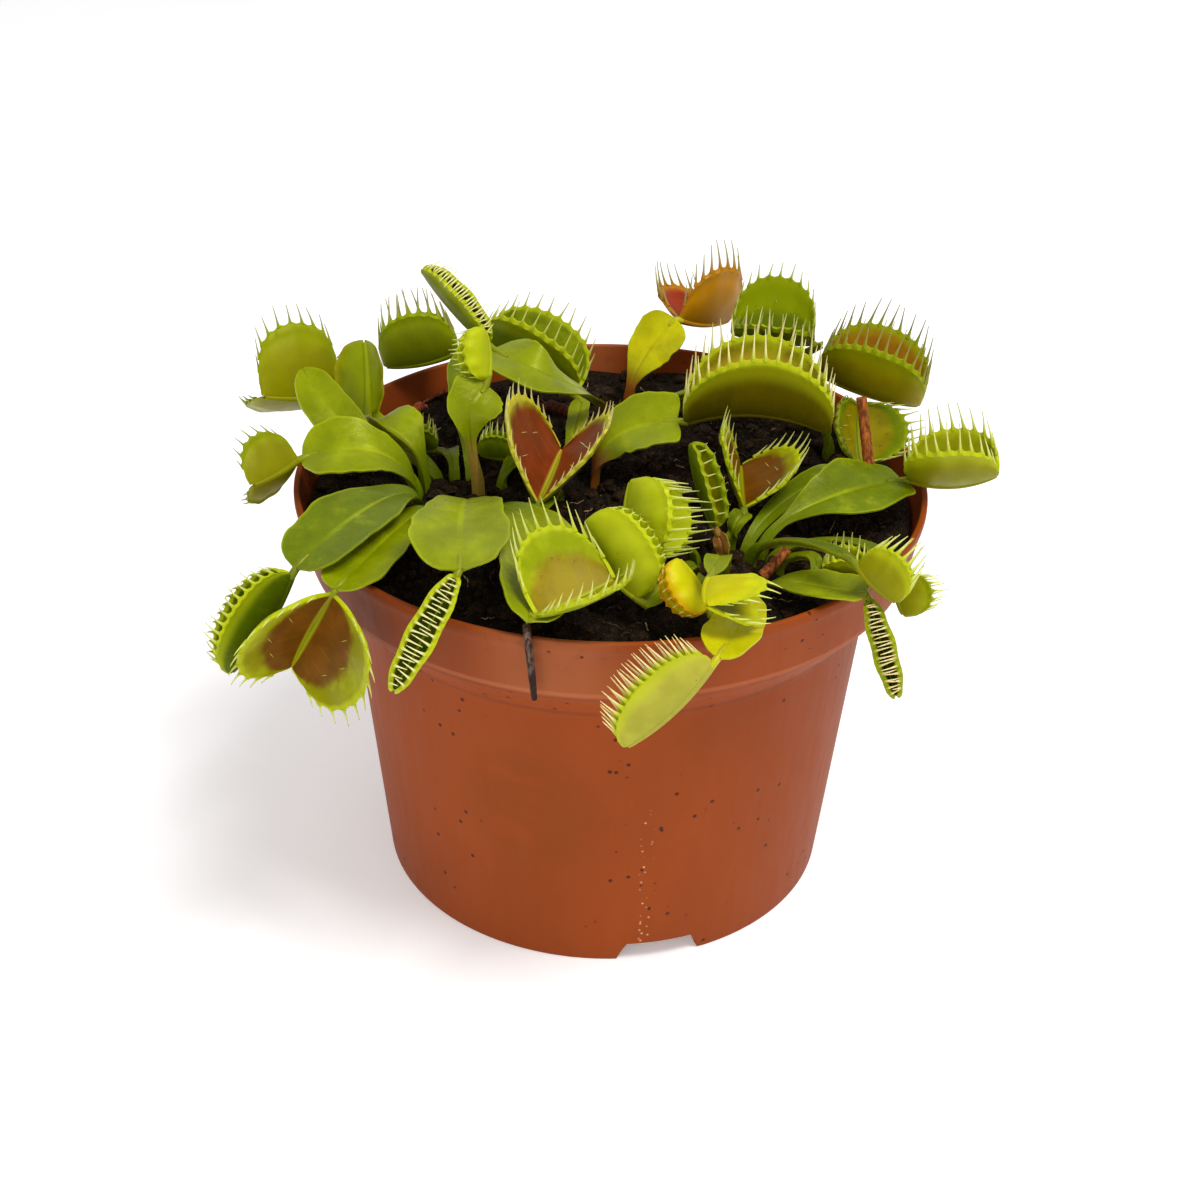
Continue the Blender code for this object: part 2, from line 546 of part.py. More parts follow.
def make_leaf(leaf, finish):
    """One leaf grown in one piece: stalk and blade, joined to the trap if it has one."""
    blade = mesh_object(leaf["name"], *blade_sheet(leaf).solid(), finish)
    if "size" not in leaf:
        return blade
    for points, faces in (neck(leaf), trap_sheet(leaf).solid()):
        combine(blade, mesh_object("growth", points, faces, finish), "UNION")
    return blade


def mesh_object(name, points, faces, material):
    """Make a named object in metres from points in millimetres."""
    mesh = bpy.data.meshes.new(name)
    mesh.from_pydata([tuple(p * MM) for p in points], [], faces)
    mesh.update()
    shape = bmesh.new()
    shape.from_mesh(mesh)
    bmesh.ops.recalc_face_normals(shape, faces=shape.faces)
    shape.to_mesh(mesh)
    shape.free()
    thing = bpy.data.objects.new(name, mesh)
    bpy.context.scene.collection.objects.link(thing)
    mesh.materials.append(material)
    return thing


def material(name, color, roughness, metallic=0.0):
    """A plain surface of one colour."""
    made = bpy.data.materials.new(name)
    made.use_nodes = True
    surface = made.node_tree.nodes["Principled BSDF"]
    surface.inputs["Base Color"].default_value = (*color, 1.0)
    surface.inputs["Roughness"].default_value = roughness
    surface.inputs["Metallic"].default_value = metallic
    made.diffuse_color = (*color, 1.0)
    return made


def turned(name, outline, segments, finish):
    """Turn a closed outline of (radius, height) round the Z axis."""
    points = []
    faces = []
    rings = []
    for radius, height in outline:
        if radius == 0.0:
            rings.append([len(points)] * segments)
            points.append(Vector((0, 0, height)))
            continue
        rings.append(list(range(len(points), len(points) + segments)))
        for i in range(segments):
            angle = 2 * math.pi * i / segments
            points.append(Vector((radius * math.cos(angle), radius * math.sin(angle), height)))
    for lower, upper in zip(rings, rings[1:] + rings[:1]):
        for i in range(segments):
            j = (i + 1) % segments
            corners = [lower[i], lower[j], upper[j], upper[i]]
            corners = list(dict.fromkeys(corners))
            if len(corners) > 2:
                faces.append(corners)
    return mesh_object(name, points, faces, finish)


def cylinder(x, y, low, high, radius, sides):
    """A round cutter standing between two heights."""
    points = []
    for height in (low, high):
        for i in range(sides):
            angle = 2 * math.pi * (i + 0.5) / sides
            points.append(Vector((x + radius * math.cos(angle), y + radius * math.sin(angle), height)))
    faces = [[i, (i + 1) % sides, (i + 1) % sides + sides, i + sides] for i in range(sides)]
    faces.append(list(range(sides))[::-1])
    faces.append(list(range(sides, 2 * sides)))
    return points, faces


def combine(target, tool, operation):
    """Apply one Boolean with a tool object, which is then removed."""
    step = target.modifiers.new("step", "BOOLEAN")
    step.operation = operation
    step.solver = "EXACT"
    step.object = tool
    bpy.context.view_layer.objects.active = target
    bpy.ops.object.modifier_apply(modifier=step.name)
    bpy.data.objects.remove(tool)


def cut(target, cutters):
    """Cut a list of (points, faces) shapes out of an object."""
    for points, faces in cutters:
        combine(target, mesh_object("cutter", points, faces, target.data.materials[0]), "DIFFERENCE")


def notch_shape(angle_degrees):
    """A wedge that opens the foot of the pot, with leaning ends."""
    middle = math.radians(angle_degrees)
    half = math.radians(NOTCH_HALF_ANGLE)
    lean = math.radians(NOTCH_LEAN)
    points = []
    for radius in (FOOT_RADIUS - NOTCH_INWARD, FOOT_RADIUS + NOTCH_OUTWARD):
        for height, extra in ((-CUT_OVER, lean), (NOTCH_HEIGHT, -lean)):
            for side in (-1, 1):
                angle = middle + side * (half + extra)
                points.append(Vector((radius * math.cos(angle), radius * math.sin(angle), height)))
    faces = [(0, 1, 3, 2), (4, 6, 7, 5), (0, 4, 5, 1), (2, 3, 7, 6), (0, 2, 6, 4), (1, 5, 7, 3)]
    return points, faces


def body_radius(z):
    """Outer radius of the pot's tapering body."""
    return FOOT_RADIUS + (BODY_RADIUS_TOP - FOOT_RADIUS) * z / SHOULDER_Z


def pot_outline():
    """Half section of the pot: tapered body, shoulder, rim band, lip and inside wall."""
    band_z = POT_HEIGHT - RIM_BAND_HEIGHT
    inside = body_radius(FLOOR_Z + FLOOR_THICKNESS) - WALL
    return [
        (0.0, FLOOR_Z), (body_radius(0) - FOOT_RING, FLOOR_Z),
        (body_radius(0) - FOOT_RING + FOOT_DRAFT, 0.0),
        (body_radius(0), 0.0), (body_radius(FLOOR_Z), FLOOR_Z), (BODY_RADIUS_TOP, SHOULDER_Z),
        (RIM_BAND_RADIUS, band_z), (RIM_RADIUS, POT_HEIGHT - LIP_CHAMFER),
        (RIM_RADIUS - LIP_CHAMFER, POT_HEIGHT),
        (RIM_RADIUS - LIP, POT_HEIGHT), (RIM_BAND_RADIUS - WALL, band_z + INNER_BAND_RISE),
        (BODY_RADIUS_TOP - WALL, SHOULDER_Z + INNER_SHOULDER_RISE), (inside, FLOOR_Z + FLOOR_THICKNESS),
        (0.0, FLOOR_Z + FLOOR_THICKNESS),
    ]


def make_pot():
    plastic = material("terracotta_plastic", POT_COLOR, 0.45)
    pot = turned("pot", pot_outline(), POT_SEGMENTS, plastic)
    cutters = [notch_shape(angle) for angle in NOTCH_ANGLES]
    for i in range(DRAIN_COUNT):
        angle = 2 * math.pi * (i + 0.5) / DRAIN_COUNT
        x = DRAIN_RING_RADIUS * math.cos(angle)
        y = DRAIN_RING_RADIUS * math.sin(angle)
        low, high = FLOOR_Z - CUT_OVER, FLOOR_Z + FLOOR_THICKNESS + CUT_OVER
        cutters.append(cylinder(x, y, low, high, DRAIN_RADIUS, DRAIN_SIDES))
    cut(pot, cutters)
    return pot


def inner_radius(z):
    """Inside radius of the pot at a height."""
    band_z = POT_HEIGHT - RIM_BAND_HEIGHT
    profile = ((FLOOR_Z + FLOOR_THICKNESS, body_radius(FLOOR_Z + FLOOR_THICKNESS) - WALL),
               (SHOULDER_Z + INNER_SHOULDER_RISE, BODY_RADIUS_TOP - WALL),
               (band_z + INNER_BAND_RISE, RIM_BAND_RADIUS - WALL),
               (POT_HEIGHT, RIM_RADIUS - LIP))
    for (z0, r0), (z1, r1) in zip(profile, profile[1:]):
        if z <= z1:
            return r0 + (r1 - r0) * (z - z0) / (z1 - z0)
    return profile[-1][1]


def make_soil():
    """Peat that fills the pot up to its mounded top."""
    clear = GAP + SOIL_SLACK
    points = []
    faces = []
    edge = []
    for i in range(SOIL_SEGMENTS):
        angle = 2 * math.pi * i / SOIL_SEGMENTS
        edge.append((math.cos(angle), math.sin(angle)))
    side_heights = (FLOOR_Z + FLOOR_THICKNESS + GAP, SHOULDER_Z + INNER_SHOULDER_RISE,
                    POT_HEIGHT - RIM_BAND_HEIGHT + INNER_BAND_RISE)
    points.append(Vector((0, 0, side_heights[0])))
    rings = []
    for height in side_heights:
        rings.append(list(range(len(points), len(points) + SOIL_SEGMENTS)))
        radius = inner_radius(height) - clear
        points += [Vector((radius * x, radius * y, height)) for x, y in edge]
    for ring in range(SOIL_RINGS, 0, -1):
        rings.append(list(range(len(points), len(points) + SOIL_SEGMENTS)))
        radius = (inner_radius(SOIL_EDGE_Z) - clear - GAP) * ring / SOIL_RINGS
        for x, y in edge:
            points.append(Vector((radius * x, radius * y, soil_height(radius * x, radius * y))))
    top = len(points)
    points.append(Vector((0, 0, soil_height(0, 0))))
    for lower, upper in zip(rings, rings[1:]):
        for i in range(SOIL_SEGMENTS):
            j = (i + 1) % SOIL_SEGMENTS
            faces.append((lower[i], lower[j], upper[j]))
            faces.append((lower[i], upper[j], upper[i]))
    for i in range(SOIL_SEGMENTS):
        j = (i + 1) % SOIL_SEGMENTS
        faces.append((0, rings[0][j], rings[0][i]))
        faces.append((rings[-1][i], rings[-1][j], top))
    soil = mesh_object("soil", points, faces, material("peat", PEAT_COLOR, 0.95))
    cutters = []
    for crown, (x, y) in CROWNS.items():
        rings = [leaf.get("ring", CROWN_RING) for leaf in LEAVES if leaf["crown"] == crown]
        radius = max(rings) + PIT_MARGIN
        cutters.append(cylinder(x, y, pit_floor(crown), POT_HEIGHT + PIT_OVER, radius, PIT_SIDES))
    cut(soil, cutters)
    return soil


# Old stalks and roots: a line of points (x, y, z in mm) with a radius at each
STALKS = (
    dict(name="cut_stub", path=((27.5, -31.0, 78.6), (29.7, -29.8, 80.8), (31.9, -28.5, 82.9)),
         radii=(1.15, 1.0, 0.9), color=(0.17, 0.05, 0.015)),
    dict(name="dead_stalk", path=((49.9, -3.7, 79.2), (48.4, -0.9, 88.0), (46.6, 1.6, 98.5)),
         radii=(1.15, 1.1, 1.0), color=(0.28, 0.10, 0.02)),
    dict(name="root_strand", color=(0.05, 0.03, 0.02), radii=(0.5, 0.6, 0.6, 0.6, 0.6, 0.55, 0.45),
         path=((-14.0, -54.0, 78.8), (-13.9, -55.4, 82.2), (-13.7, -57.4, 83.3), (-13.5, -59.4, 82.9),
               (-13.2, -60.6, 80.5), (-12.8, -59.8, 75.5), (-12.4, -59.0, 70.0))),
)
STALK_SIDES = 6


def make_stalks():
    """The cut stub and dead stalk that stand in the peat, and the root that hangs over the rim."""
    for stalk in STALKS:
        points, faces = rod([Vector(place) for place in stalk["path"]], stalk["radii"], STALK_SIDES)
        mesh_object(stalk["name"], points, faces, material(stalk["name"], stalk["color"], 0.8))


POT_COLOR = (0.36, 0.075, 0.025)
PEAT_COLOR = (0.018, 0.010, 0.006)
LEAF_COLORS = {
    "lime": (0.30, 0.46, 0.02),
    "green": (0.12, 0.24, 0.015),
    "yellow": (0.45, 0.52, 0.03),
    "pale": (0.38, 0.50, 0.12),
    "orange": (0.30, 0.22, 0.02),
    "red": (0.28, 0.06, 0.03),
}


def main():
    for thing in list(bpy.data.objects):
        bpy.data.objects.remove(thing)
    bpy.context.scene.unit_settings.system = "METRIC"
    make_pot()
    make_soil()
    greens = {name: material("leaf_" + name, color, 0.42) for name, color in LEAF_COLORS.items()}
    for leaf in LEAVES:
        make_leaf(leaf, greens[leaf["hue"]])
    make_stalks()
    for thing in bpy.data.objects:
        thing.data.transform(Matrix.Translation(SHIFT * MM))


main()
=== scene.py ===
"""Look model of the potted venus flytrap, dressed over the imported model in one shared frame.

Sizes are in millimetres and repeat the part's own; objects are made in metres, +Z up, front towards -Y.
"""
import random
from math import copysign, cos, exp, hypot, pi, radians, sin, sqrt

import bmesh
import bpy
from mathutils import Matrix, Vector, noise


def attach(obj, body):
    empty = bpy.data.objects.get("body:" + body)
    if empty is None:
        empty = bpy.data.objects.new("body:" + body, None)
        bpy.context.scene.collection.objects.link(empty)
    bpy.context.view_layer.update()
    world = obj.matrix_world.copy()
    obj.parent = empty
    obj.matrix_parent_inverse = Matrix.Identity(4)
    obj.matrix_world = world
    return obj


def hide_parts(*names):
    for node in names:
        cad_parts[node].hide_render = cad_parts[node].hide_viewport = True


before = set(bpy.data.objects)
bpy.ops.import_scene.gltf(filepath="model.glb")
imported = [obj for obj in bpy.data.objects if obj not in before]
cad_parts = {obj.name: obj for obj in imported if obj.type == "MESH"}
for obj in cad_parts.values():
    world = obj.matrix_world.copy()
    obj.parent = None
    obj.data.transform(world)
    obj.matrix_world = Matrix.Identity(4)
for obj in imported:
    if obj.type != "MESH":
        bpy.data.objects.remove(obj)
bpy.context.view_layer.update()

MM = 0.001
# Edges that turn by more than this stay crisp
SHARP_ANGLE = radians(50)
# Numbers of a leaf's three materials
BLADE, LOBE, BRISTLE = 0, 1, 2

# From the pot's axis to the middle of the whole plant, which is the origin
SHIFT = Vector((1.5, 5.8, 0.0))

# Pot
POT_HEIGHT = 82.0
RIM_RADIUS = 60.0
RIM_BAND_HEIGHT = 12.6
RIM_BAND_RADIUS = 57.6
SHOULDER_Z = 61.5
BODY_RADIUS_TOP = 50.4
FOOT_RADIUS = 44.1
WALL = 1.4
LIP = 1.1
FLOOR_Z = 5.0
FLOOR_THICKNESS = 1.6
POT_SEGMENTS = 288
NOTCH_HEIGHT = 4.0
NOTCH_HALF_ANGLE = 9.5
NOTCH_LEAN = 1.2
NOTCH_ANGLES = (-75.5, 44.5, 164.5)
OUT_OF_ROUND = 0.12
DRAIN_RADIUS = 3.0
DRAIN_RING_RADIUS = 27.0
DRAIN_COUNT = 8
GAP = 0.3
# Share of the pot's outline, from underside over the lip to the floor, where its inside begins
INSIDE_FROM = 0.735
# Heights of the painted highlight line on the band's lower edge and of the painted shade in the creases by
# it, with their widths
EDGE_HIGHLIGHT_Z = 69.9
CREASE_SHADES = ((68.4, 1.0), (61.3, 0.9))
STAIN_PLACE = (-12.5, -41.2, 36.0)
DRIP_X = 9.5
# Worked out from the sizes above
BAND_Z = POT_HEIGHT - RIM_BAND_HEIGHT
FLOOR_TOP = FLOOR_Z + FLOOR_THICKNESS
INNER_BAND_Z = BAND_Z + 0.6
INNER_SHOULDER_Z = SHOULDER_Z + 0.4

# Soil
SOIL_EDGE_Z = 77.0
SOIL_MOUND = 2.6
SOIL_ROUGHNESS = 0.8
SOIL_RINGS = 120
SOIL_SEGMENTS = 300
CRUMBS = 2450
CRUMB_SIZE = 0.28
CRUMB_GROWTH = 1.5
FIBRES = 190
FIBRE_LENGTHS = (1.5, 6.0)
FIBRE_RADII = (0.06, 0.14)
PALE_FIBRES = 0.3

# Leaves
PIT_DEPTH = 2.4
PIT_MARGIN = 3.6
STALK_HALF = 1.0
STALK_THICK = 1.6
BLADE_THICK = 0.75
EDGE_THICK = 0.35
NECK_HALF = 0.75
NECK_LENGTH = 2.0
NECK_RADII = (0.5, 0.68, 0.72, 0.74)
LOBE_THICK = 0.65
BARE_END = 0.07
BLADE_ROWS = 60
BLADE_COLUMNS = 18
LOBE_ROWS = 96
LOBE_COLUMNS = 14
# The part's traps have fewer, stouter teeth than the plant
TEETH_PER_CAD_TOOTH = 1.45
# Rim of a lobe: depth of its scallops, how far it flares and how thick its lip is
SCALLOP = 0.2
RIM_FLARE = 0.35
RIM_LIP = 0.26
LOBE_RIPPLE = 0.12
# Traps that open at least this many degrees show their trigger hairs
TRIGGERS_FROM_GAPE = 24
# Trigger hairs: shares along a lobe and from its midrib to its rim, then heights over it and radii
TRIGGER_PLACES = ((0.36, 0.5), (0.5, 0.62), (0.64, 0.5))
TRIGGER_HEIGHTS = (-0.2, 0.5, 1.1)
TRIGGER_RADII = (0.09, 0.06, 0.03)
TOOTH_RINGS = 7
TOOTH_TIP = 0.07
# Shares of a blade's half width by which its edges wave and its outline is uneven, coarse and fine
WAVE = 0.11
UNEVEN = (0.15, 0.07)
# Depth of the groove along a blade's upper side and height of the rib below it
GROOVE = 0.22
RIB = 0.35
# Directions of leaves are given as seen from this far above level
VIEW_TILT = radians(31.3)

# Camera, fitted to the pot in the photograph: distance from its aim, angle above level and roll
CAMERA_DISTANCE = 430.0
CAMERA_TILT = radians(31.28)
CAMERA_ROLL = radians(1.1)
CAMERA_AIM = (-1.56, 0.0, 54.13)
SENSOR_WIDTH = 36.0
LENS = 65.49

# Studio: the soft lights have a place and an aim in metres, a width in metres and watts
WHITE = (1.0, 1.0, 1.0)
SURROUND_STRENGTH = 0.54
FLOOR_HALF = 3.0
FLOOR_GLOW = 0.22
FLOOR_TONES = ((0.93, 0.93, 0.93), (0.96, 0.96, 0.96))
LIGHTS = {
    "key_softbox": ((0.3, -0.22, 0.92), (0, 0, 0.07), 0.34, 7.0),
    "front_softbox": ((-0.3, -0.9, 0.4), (0, 0, 0.06), 0.7, 2.8),
}

# Seeds of the random draws
SEEDS = {"crumbs": 11, "fibres": 23, "stalks": 5, "scraps": 31, "pebbles": 37}

# Crown centres on the soil, and the radius of the ring that their leaves usually stand on
CROWNS = {"left": (-28, -4), "back": (0, 33), "mid": (-8, 2), "front": (23, -28), "right": (46, 16)}
RINGS = {"left": 8.0, "back": 4.2, "mid": 4.2, "front": 7.0, "right": 4.2}

# Each leaf stands on a ring round its crown at the angle "turn" (degrees, 0 = right, -90 = front),
# rises by "lift", passes near "bend" and ends at "neck", where its trap hangs (x, y, z in mm). "half" is
# half its greatest width, which begins at the share "waist" of its length. "face", "along" and "opens"
# are directions as seen from the front and above: right, up, near. "size" is the trap's length and depth,
# "bite" each lobe's opening angle and bulge in degrees, and "teeth" the number and length of the part's
# own teeth on a lobe. "tones" are the colours of blade, foot, midrib, then the trap's outside, inside,
# rim and teeth. The inside colour spreads from the midrib over the share "spread" of the lobe.
LEAF_ROWS = (
    # Left crown
    dict(name="leaf_left_tall", crown="left", turn=40, ring=3, lift=14, bend=(-28.6, -4, 96),
         neck=(-23.5, 3, 98.7), half=5.3, waist=0.45, face=(0.1, 0.2, 1), size=(8.5, 5.5),
         along=(-0.1, 1, 0), opens=(-0.9, 0, 0.4), bite=(10, 30), teeth=(5, 2.5),
         tones="lime tan green bright lime bright mint", spread=0.6),
    dict(name="leaf_left_heart", crown="left", turn=286, lift=10, bend=(-27, -34, 95),
         neck=(-25, -53, 92), half=8.5, waist=0.2, face=(0, 0.5, 0.9), size=(21, 6.5),
         along=(-0.45, -0.88, 0.1), opens=(0, 0, 1), bite=(14, 24), teeth=(10, 4), curl=60, taper=1.25,
         tones="lime green bright green pine bright cream", spread=0.8),
    dict(name="leaf_left_low_1", crown="left", turn=209, lift=10, bend=(-45, -31, 91.5),
         neck=(-54.5, -42, 85.2), half=7, waist=0.15, heart=0.1, face=(-0.1, 0.7, 0.8), size=(19.5, 7.8),
         along=(-0.52, -0.85, -0.1), opens=(-0.75, 0.45, 0.5), bite=(9, 24), teeth=(9, 4), curl=60,
         taper=1.1, hue="green", tones="green green bright pine green bright mint", spread=0.8),
    dict(name="leaf_left_low_2", crown="left", turn=236, lift=7.5, bend=(-40.5, -34, 86),
         neck=(-47, -46, 83.5), half=5.5, waist=0.15, face=(-0.1, 0.7, 0.8), size=(19, 16),
         along=(-0.4, -0.62, -0.55), opens=(0, -0.6, 0.8), bite=(42, 12), teeth=(8, 4), overhang=0.35,
         taper=1.05, hue="orange", tones="lime green bright moss rust bright mint", spread=0.66),
    dict(name="leaf_left_side", crown="left", turn=189, lift=9, bend=(-43, -9, 95), neck=(-57, -9, 89.5),
         half=6.5, waist=0.2, face=(0, 0.7, 0.8), size=(11, 8), along=(-0.6, -0.45, 0.66),
         opens=(-0.8, 0.27, -0.54), bite=(51, 15), teeth=(6, 2.5),
         tones="lime green bright moss olive lime reed"),
    dict(name="leaf_left_bare", crown="left", turn=168, lift=8, bend=(-50.7, 1.2, 85.6),
         neck=(-58, 4.5, 100.8), half=4.3, waist=0.45, face=(0.4, 0, 0.9),
         tones="lime green bright"),
    dict(name="leaf_left_standing", crown="left", turn=126, lift=7, bend=(-44, 6.5, 82.5),
         neck=(-53, 21, 88), half=3, waist=0.2, heart=0, face=(0, 0.6, 0.8), size=(14.5, 14.5),
         along=(-0.85, -0.1, 0.5), opens=(-0.55, 0.65, -0.5), bite=(46, 18), teeth=(9, 5), overhang=0.35,
         tones="lime green bright moss moss lime reed"),
    dict(name="leaf_left_keeled", crown="left", turn=147, lift=9, bend=(-41, 2.5, 91),
         neck=(-46.6, 7, 88.9), half=4.6, waist=0.2, keel=0.5, skew=0.5, face=(0.6, 0.5, 0.4),
         size=(13, 8), along=(-0.07, 1, 0), opens=(-0.35, 0.1, -0.93), bite=(30, 20), teeth=(7, 3),
         tones="lime green bright lime green olive olive"),
    dict(name="leaf_left_back", crown="left", turn=82, lift=8, bend=(-31, 24, 84), neck=(-30, 38, 90.2),
         half=3, waist=0.4, face=(0, 0.9, 0.2), size=(14.5, 11), along=(-0.95, -0.2, -0.1),
         opens=(-0.1, 1, 0.15), bite=(20, 26), teeth=(8, 5.5), hue="green",
         tones="green green lime fern deep lime reed"),
    dict(name="leaf_left_small_1", crown="left", turn=104, lift=6, bend=(-31, 8.5, 83),
         neck=(-32.6, 12, 80.6), half=2, waist=0.4, size=(6, 5), along=(-1, 0.1, 0), opens=(0, 1, 0.3),
         bite=(20, 24), teeth=(6, 2.5), hue="green", tones="green green lime green deep lime mint"),
    dict(name="leaf_left_under", crown="left", turn=261, lift=5, bend=(-29.8, -16, 82),
         neck=(-29.6, -19, 81.6), half=2, waist=0.2, face=(0.3, 0.5, 0.9), size=(10, 2.8),
         along=(-0.12, -0.5, 0.83), opens=(-0.5, 0.6, 0.5), bite=(12, 22), teeth=(7, 2), hue="green",
         tones="green green lime deep deep lime mint"),
    dict(name="leaf_left_small_2", crown="left", turn=35, lift=4, bend=(-18.5, 3.5, 83.5),
         neck=(-17.2, 6.8, 82), half=2, waist=0.4, size=(6, 5), along=(-1, 0.1, 0), opens=(0, 1, 0.3),
         bite=(20, 24), teeth=(7, 2.5), hue="green", tones="green green lime green deep lime mint"),
    dict(name="leaf_left_wide", crown="left", turn=312, lift=8, bend=(-6, -31, 88),
         neck=(-13.4, -59.5, 86.4), half=8, waist=0.2, face=(0.2, 0.6, 0.8), size=(15, 14),
         along=(0.83, 0.4, -0.4), opens=(-0.35, 0.6, 0.7), bite=(48, 14), teeth=(10, 5.5), hue="pale",
         tones="lime green bright lime honey bright mint", spread=0.62),
    # Back crown
    dict(name="leaf_back_high", crown="back", turn=270, lift=10, bend=(-9, -4, 102),
         neck=(-23, 16.5, 100.2), half=6, broad=0.93, face=(0.1, 0.7, 0.8), size=(18, 6.4),
         along=(-0.68, 0.73, 0), opens=(0.35, 0.35, 0.87), bite=(4, 28), teeth=(10, 3.5), curl=70,
         taper=1.2, tones="lime brick green fern lime bright cream", spread=0.3),
    dict(name="leaf_back_right", crown="back", turn=45, lift=10, bend=(8, 40, 90), neck=(12.4, 42, 96),
         half=6, heart=0.1, face=(-0.2, 0.5, 0.9), size=(14.5, 13), along=(0.7, 0.1, -0.7),
         opens=(-0.5, 0.75, 0.35), bite=(38, 22), teeth=(9, 5.5),
         tones="yellow brick olive amber red orange reed", spread=0.92),
    dict(name="leaf_back_low", crown="mid", turn=95, lift=6, bend=(-6.5, 20, 84.5), neck=(-6, 28, 84.5),
         half=2, size=(21.5, 13), along=(-0.85, 0.5, -0.1), opens=(0.3, 0.85, 0.4), bite=(28, 22),
         teeth=(9, 4), tones="lime brick brick green moss bright mint", spread=0.6),
    dict(name="leaf_right_back", crown="back", turn=-20, lift=8, bend=(26, 30, 86), neck=(40.5, 24, 99.5),
         half=2.5, face=(0, 0.9, 0.3), size=(15, 12.5), along=(-0.98, 0.1, 0), opens=(0, 0.62, 0.78),
         bite=(32, 18), teeth=(9, 4), hue="green", tones="lime green lime lime green lime mint",
         spread=0.5),
    # Middle crown
    dict(name="leaf_mid_red", crown="mid", turn=246, lift=5, bend=(-11.5, -12, 84.2),
         neck=(-13.6, -16.2, 83.4), half=2.6, size=(18, 18), along=(0.2, 0.58, -0.75),
         opens=(0.15, 0.87, 0.43), bite=(30, 14), teeth=(11, 3.5), hue="red",
         tones="green green lime lime brick butter cream", spread=0.94),
    dict(name="leaf_mid_broad", crown="mid", turn=0, lift=10, bend=(1, 4, 91), neck=(12.2, 3.6, 92.2),
         half=7.5, waist=0.15, heart=0.45, face=(0, 0.7, 0.8), size=(26.5, 15), along=(1, -0.05, 0),
         opens=(0, 0.9, 0.42), bite=(27, 24), teeth=(13, 6), bow=-0.1, overhang=0.2, hue="green",
         tones="lime brick bright umber gold bright cream", spread=0.8),
    # Front crown
    dict(name="leaf_mid_front", crown="front", turn=160, lift=6, bend=(10, -30, 86), neck=(3.8, -38, 84),
         half=2.5, waist=0.2, size=(13, 11.5), along=(0, 1, -0.1), opens=(0.94, 0.1, 0.33), bite=(25, 24),
         teeth=(9, 5), tones="green green lime bright lime bright mint", spread=0.6),
    dict(name="leaf_mid_crescent", crown="front", turn=186, lift=6, bend=(12, -40, 85),
         neck=(6, -48, 82.5), half=2.5, waist=0.2, size=(15, 10), along=(-0.58, 0.8, 0),
         opens=(0.8, 0.55, 0.25), bite=(10, 30), teeth=(9, 1.6), bow=0.1, curl=50,
         tones="lime green bright bright green bright mint", spread=0.6),
    dict(name="leaf_front_long", crown="front", turn=54, lift=9, bend=(41.5, -15, 88.5),
         neck=(54.5, -4, 84.5), half=7, waist=0.42, face=(0, 0.7, 0.8), size=(16, 10.5),
         along=(0.92, 0.05, 0.35), opens=(-0.1, 0.88, 0.45), bite=(28, 22), teeth=(8, 5.5), bow=0.1,
         tones="green green bright moss green bright mint", spread=0.6),
    dict(name="leaf_front_behind", crown="front", turn=76, lift=7, bend=(36.8, -6, 87),
         neck=(47.6, 4.6, 81.6), half=3.4, waist=0.2, face=(0, 0.9, 0.5), size=(11, 10),
         along=(0, 0.95, -0.2), opens=(0.42, 0.2, 0.88), bite=(50, 14), teeth=(9, 4), hue="green",
         tones="green green lime green olive lime mint"),
    dict(name="leaf_front_orange", crown="front", turn=98, lift=5, bend=(22.3, -21, 84.3),
         neck=(24.6, -17.9, 84.4), half=2.2, size=(14.5, 12.8), along=(0, 0.55, -0.8),
         opens=(0.3, 0.88, 0.35), bite=(34, 14), teeth=(9, 4.5), hue="orange",
         tones="green green lime moss rust bright mint", spread=0.8),
    dict(name="leaf_front_edge", crown="front", turn=305, lift=6, bend=(38, -45, 84),
         neck=(44, -47, 85.5), half=4.8, waist=0.1, face=(0, 0.8, 0.6), size=(16.5, 5),
         along=(0.28, -0.95, 0.05), opens=(-0.1, 0.1, 1), bite=(12, 24), teeth=(9, 3.5), curl=60,
         taper=1.25, hue="green", tones="lime green bright fern pine lime peach", spread=0.8),
    dict(name="leaf_front_stalk", crown="front", turn=150, ring=3, lift=4, bend=(20.6, -27.2, 82.4),
         neck=(19.4, -25, 83.6), half=1.5, waist=0.2, face=(-0.5, 0, 0.9), size=(14.5, 4.4),
         along=(-0.3, 0.95, 0), opens=(0.6, 0.2, 0.75), bite=(16, 24), teeth=(5, 2.2), curl=30,
         tones="blush blush lime green olive lime mint"),
    dict(name="leaf_front_left", crown="front", turn=212, lift=5, bend=(15.8, -44, 85),
         neck=(17.5, -53, 83.5), half=1.6, waist=0.1, heart=0, face=(0, 0.8, 0.6), size=(9, 6),
         along=(-0.55, 0.83, 0), opens=(-0.75, -0.5, 0.4), bite=(10, 26), teeth=(6, 1.2), curl=50,
         hue="yellow", tones="lime green bright yellow amber amber mint"),
    dict(name="leaf_front_mouth", crown="front", turn=246, lift=8, bend=(19, -45, 94),
         neck=(17, -54, 92.5), half=2.2, waist=0.1, heart=0, face=(0, 0.8, 0.6), size=(6.5, 10),
         along=(-0.1, -0.6, 0.8), opens=(0.95, -0.15, 0), bite=(18, 20), teeth=(7, 3), hue="pale",
         tones="lime green bright yellow moss bright mint"),
    dict(name="leaf_front_hanging", crown="front", turn=273, lift=5, bend=(25.5, -52, 87),
         neck=(18, -66, 84), half=4.8, waist=0.5, face=(0, 0.8, 0.6), size=(19, 7.2),
         along=(-0.7, -0.7, 0), opens=(-0.72, 0.68, 0.1), bite=(10, 28), teeth=(12, 5), taper=1.05,
         hue="pale", tones="yellow lime bright pale moss bright peach"),
    dict(name="leaf_front_tiny", crown="front", turn=10, lift=5, bend=(39, -27.5, 83.6),
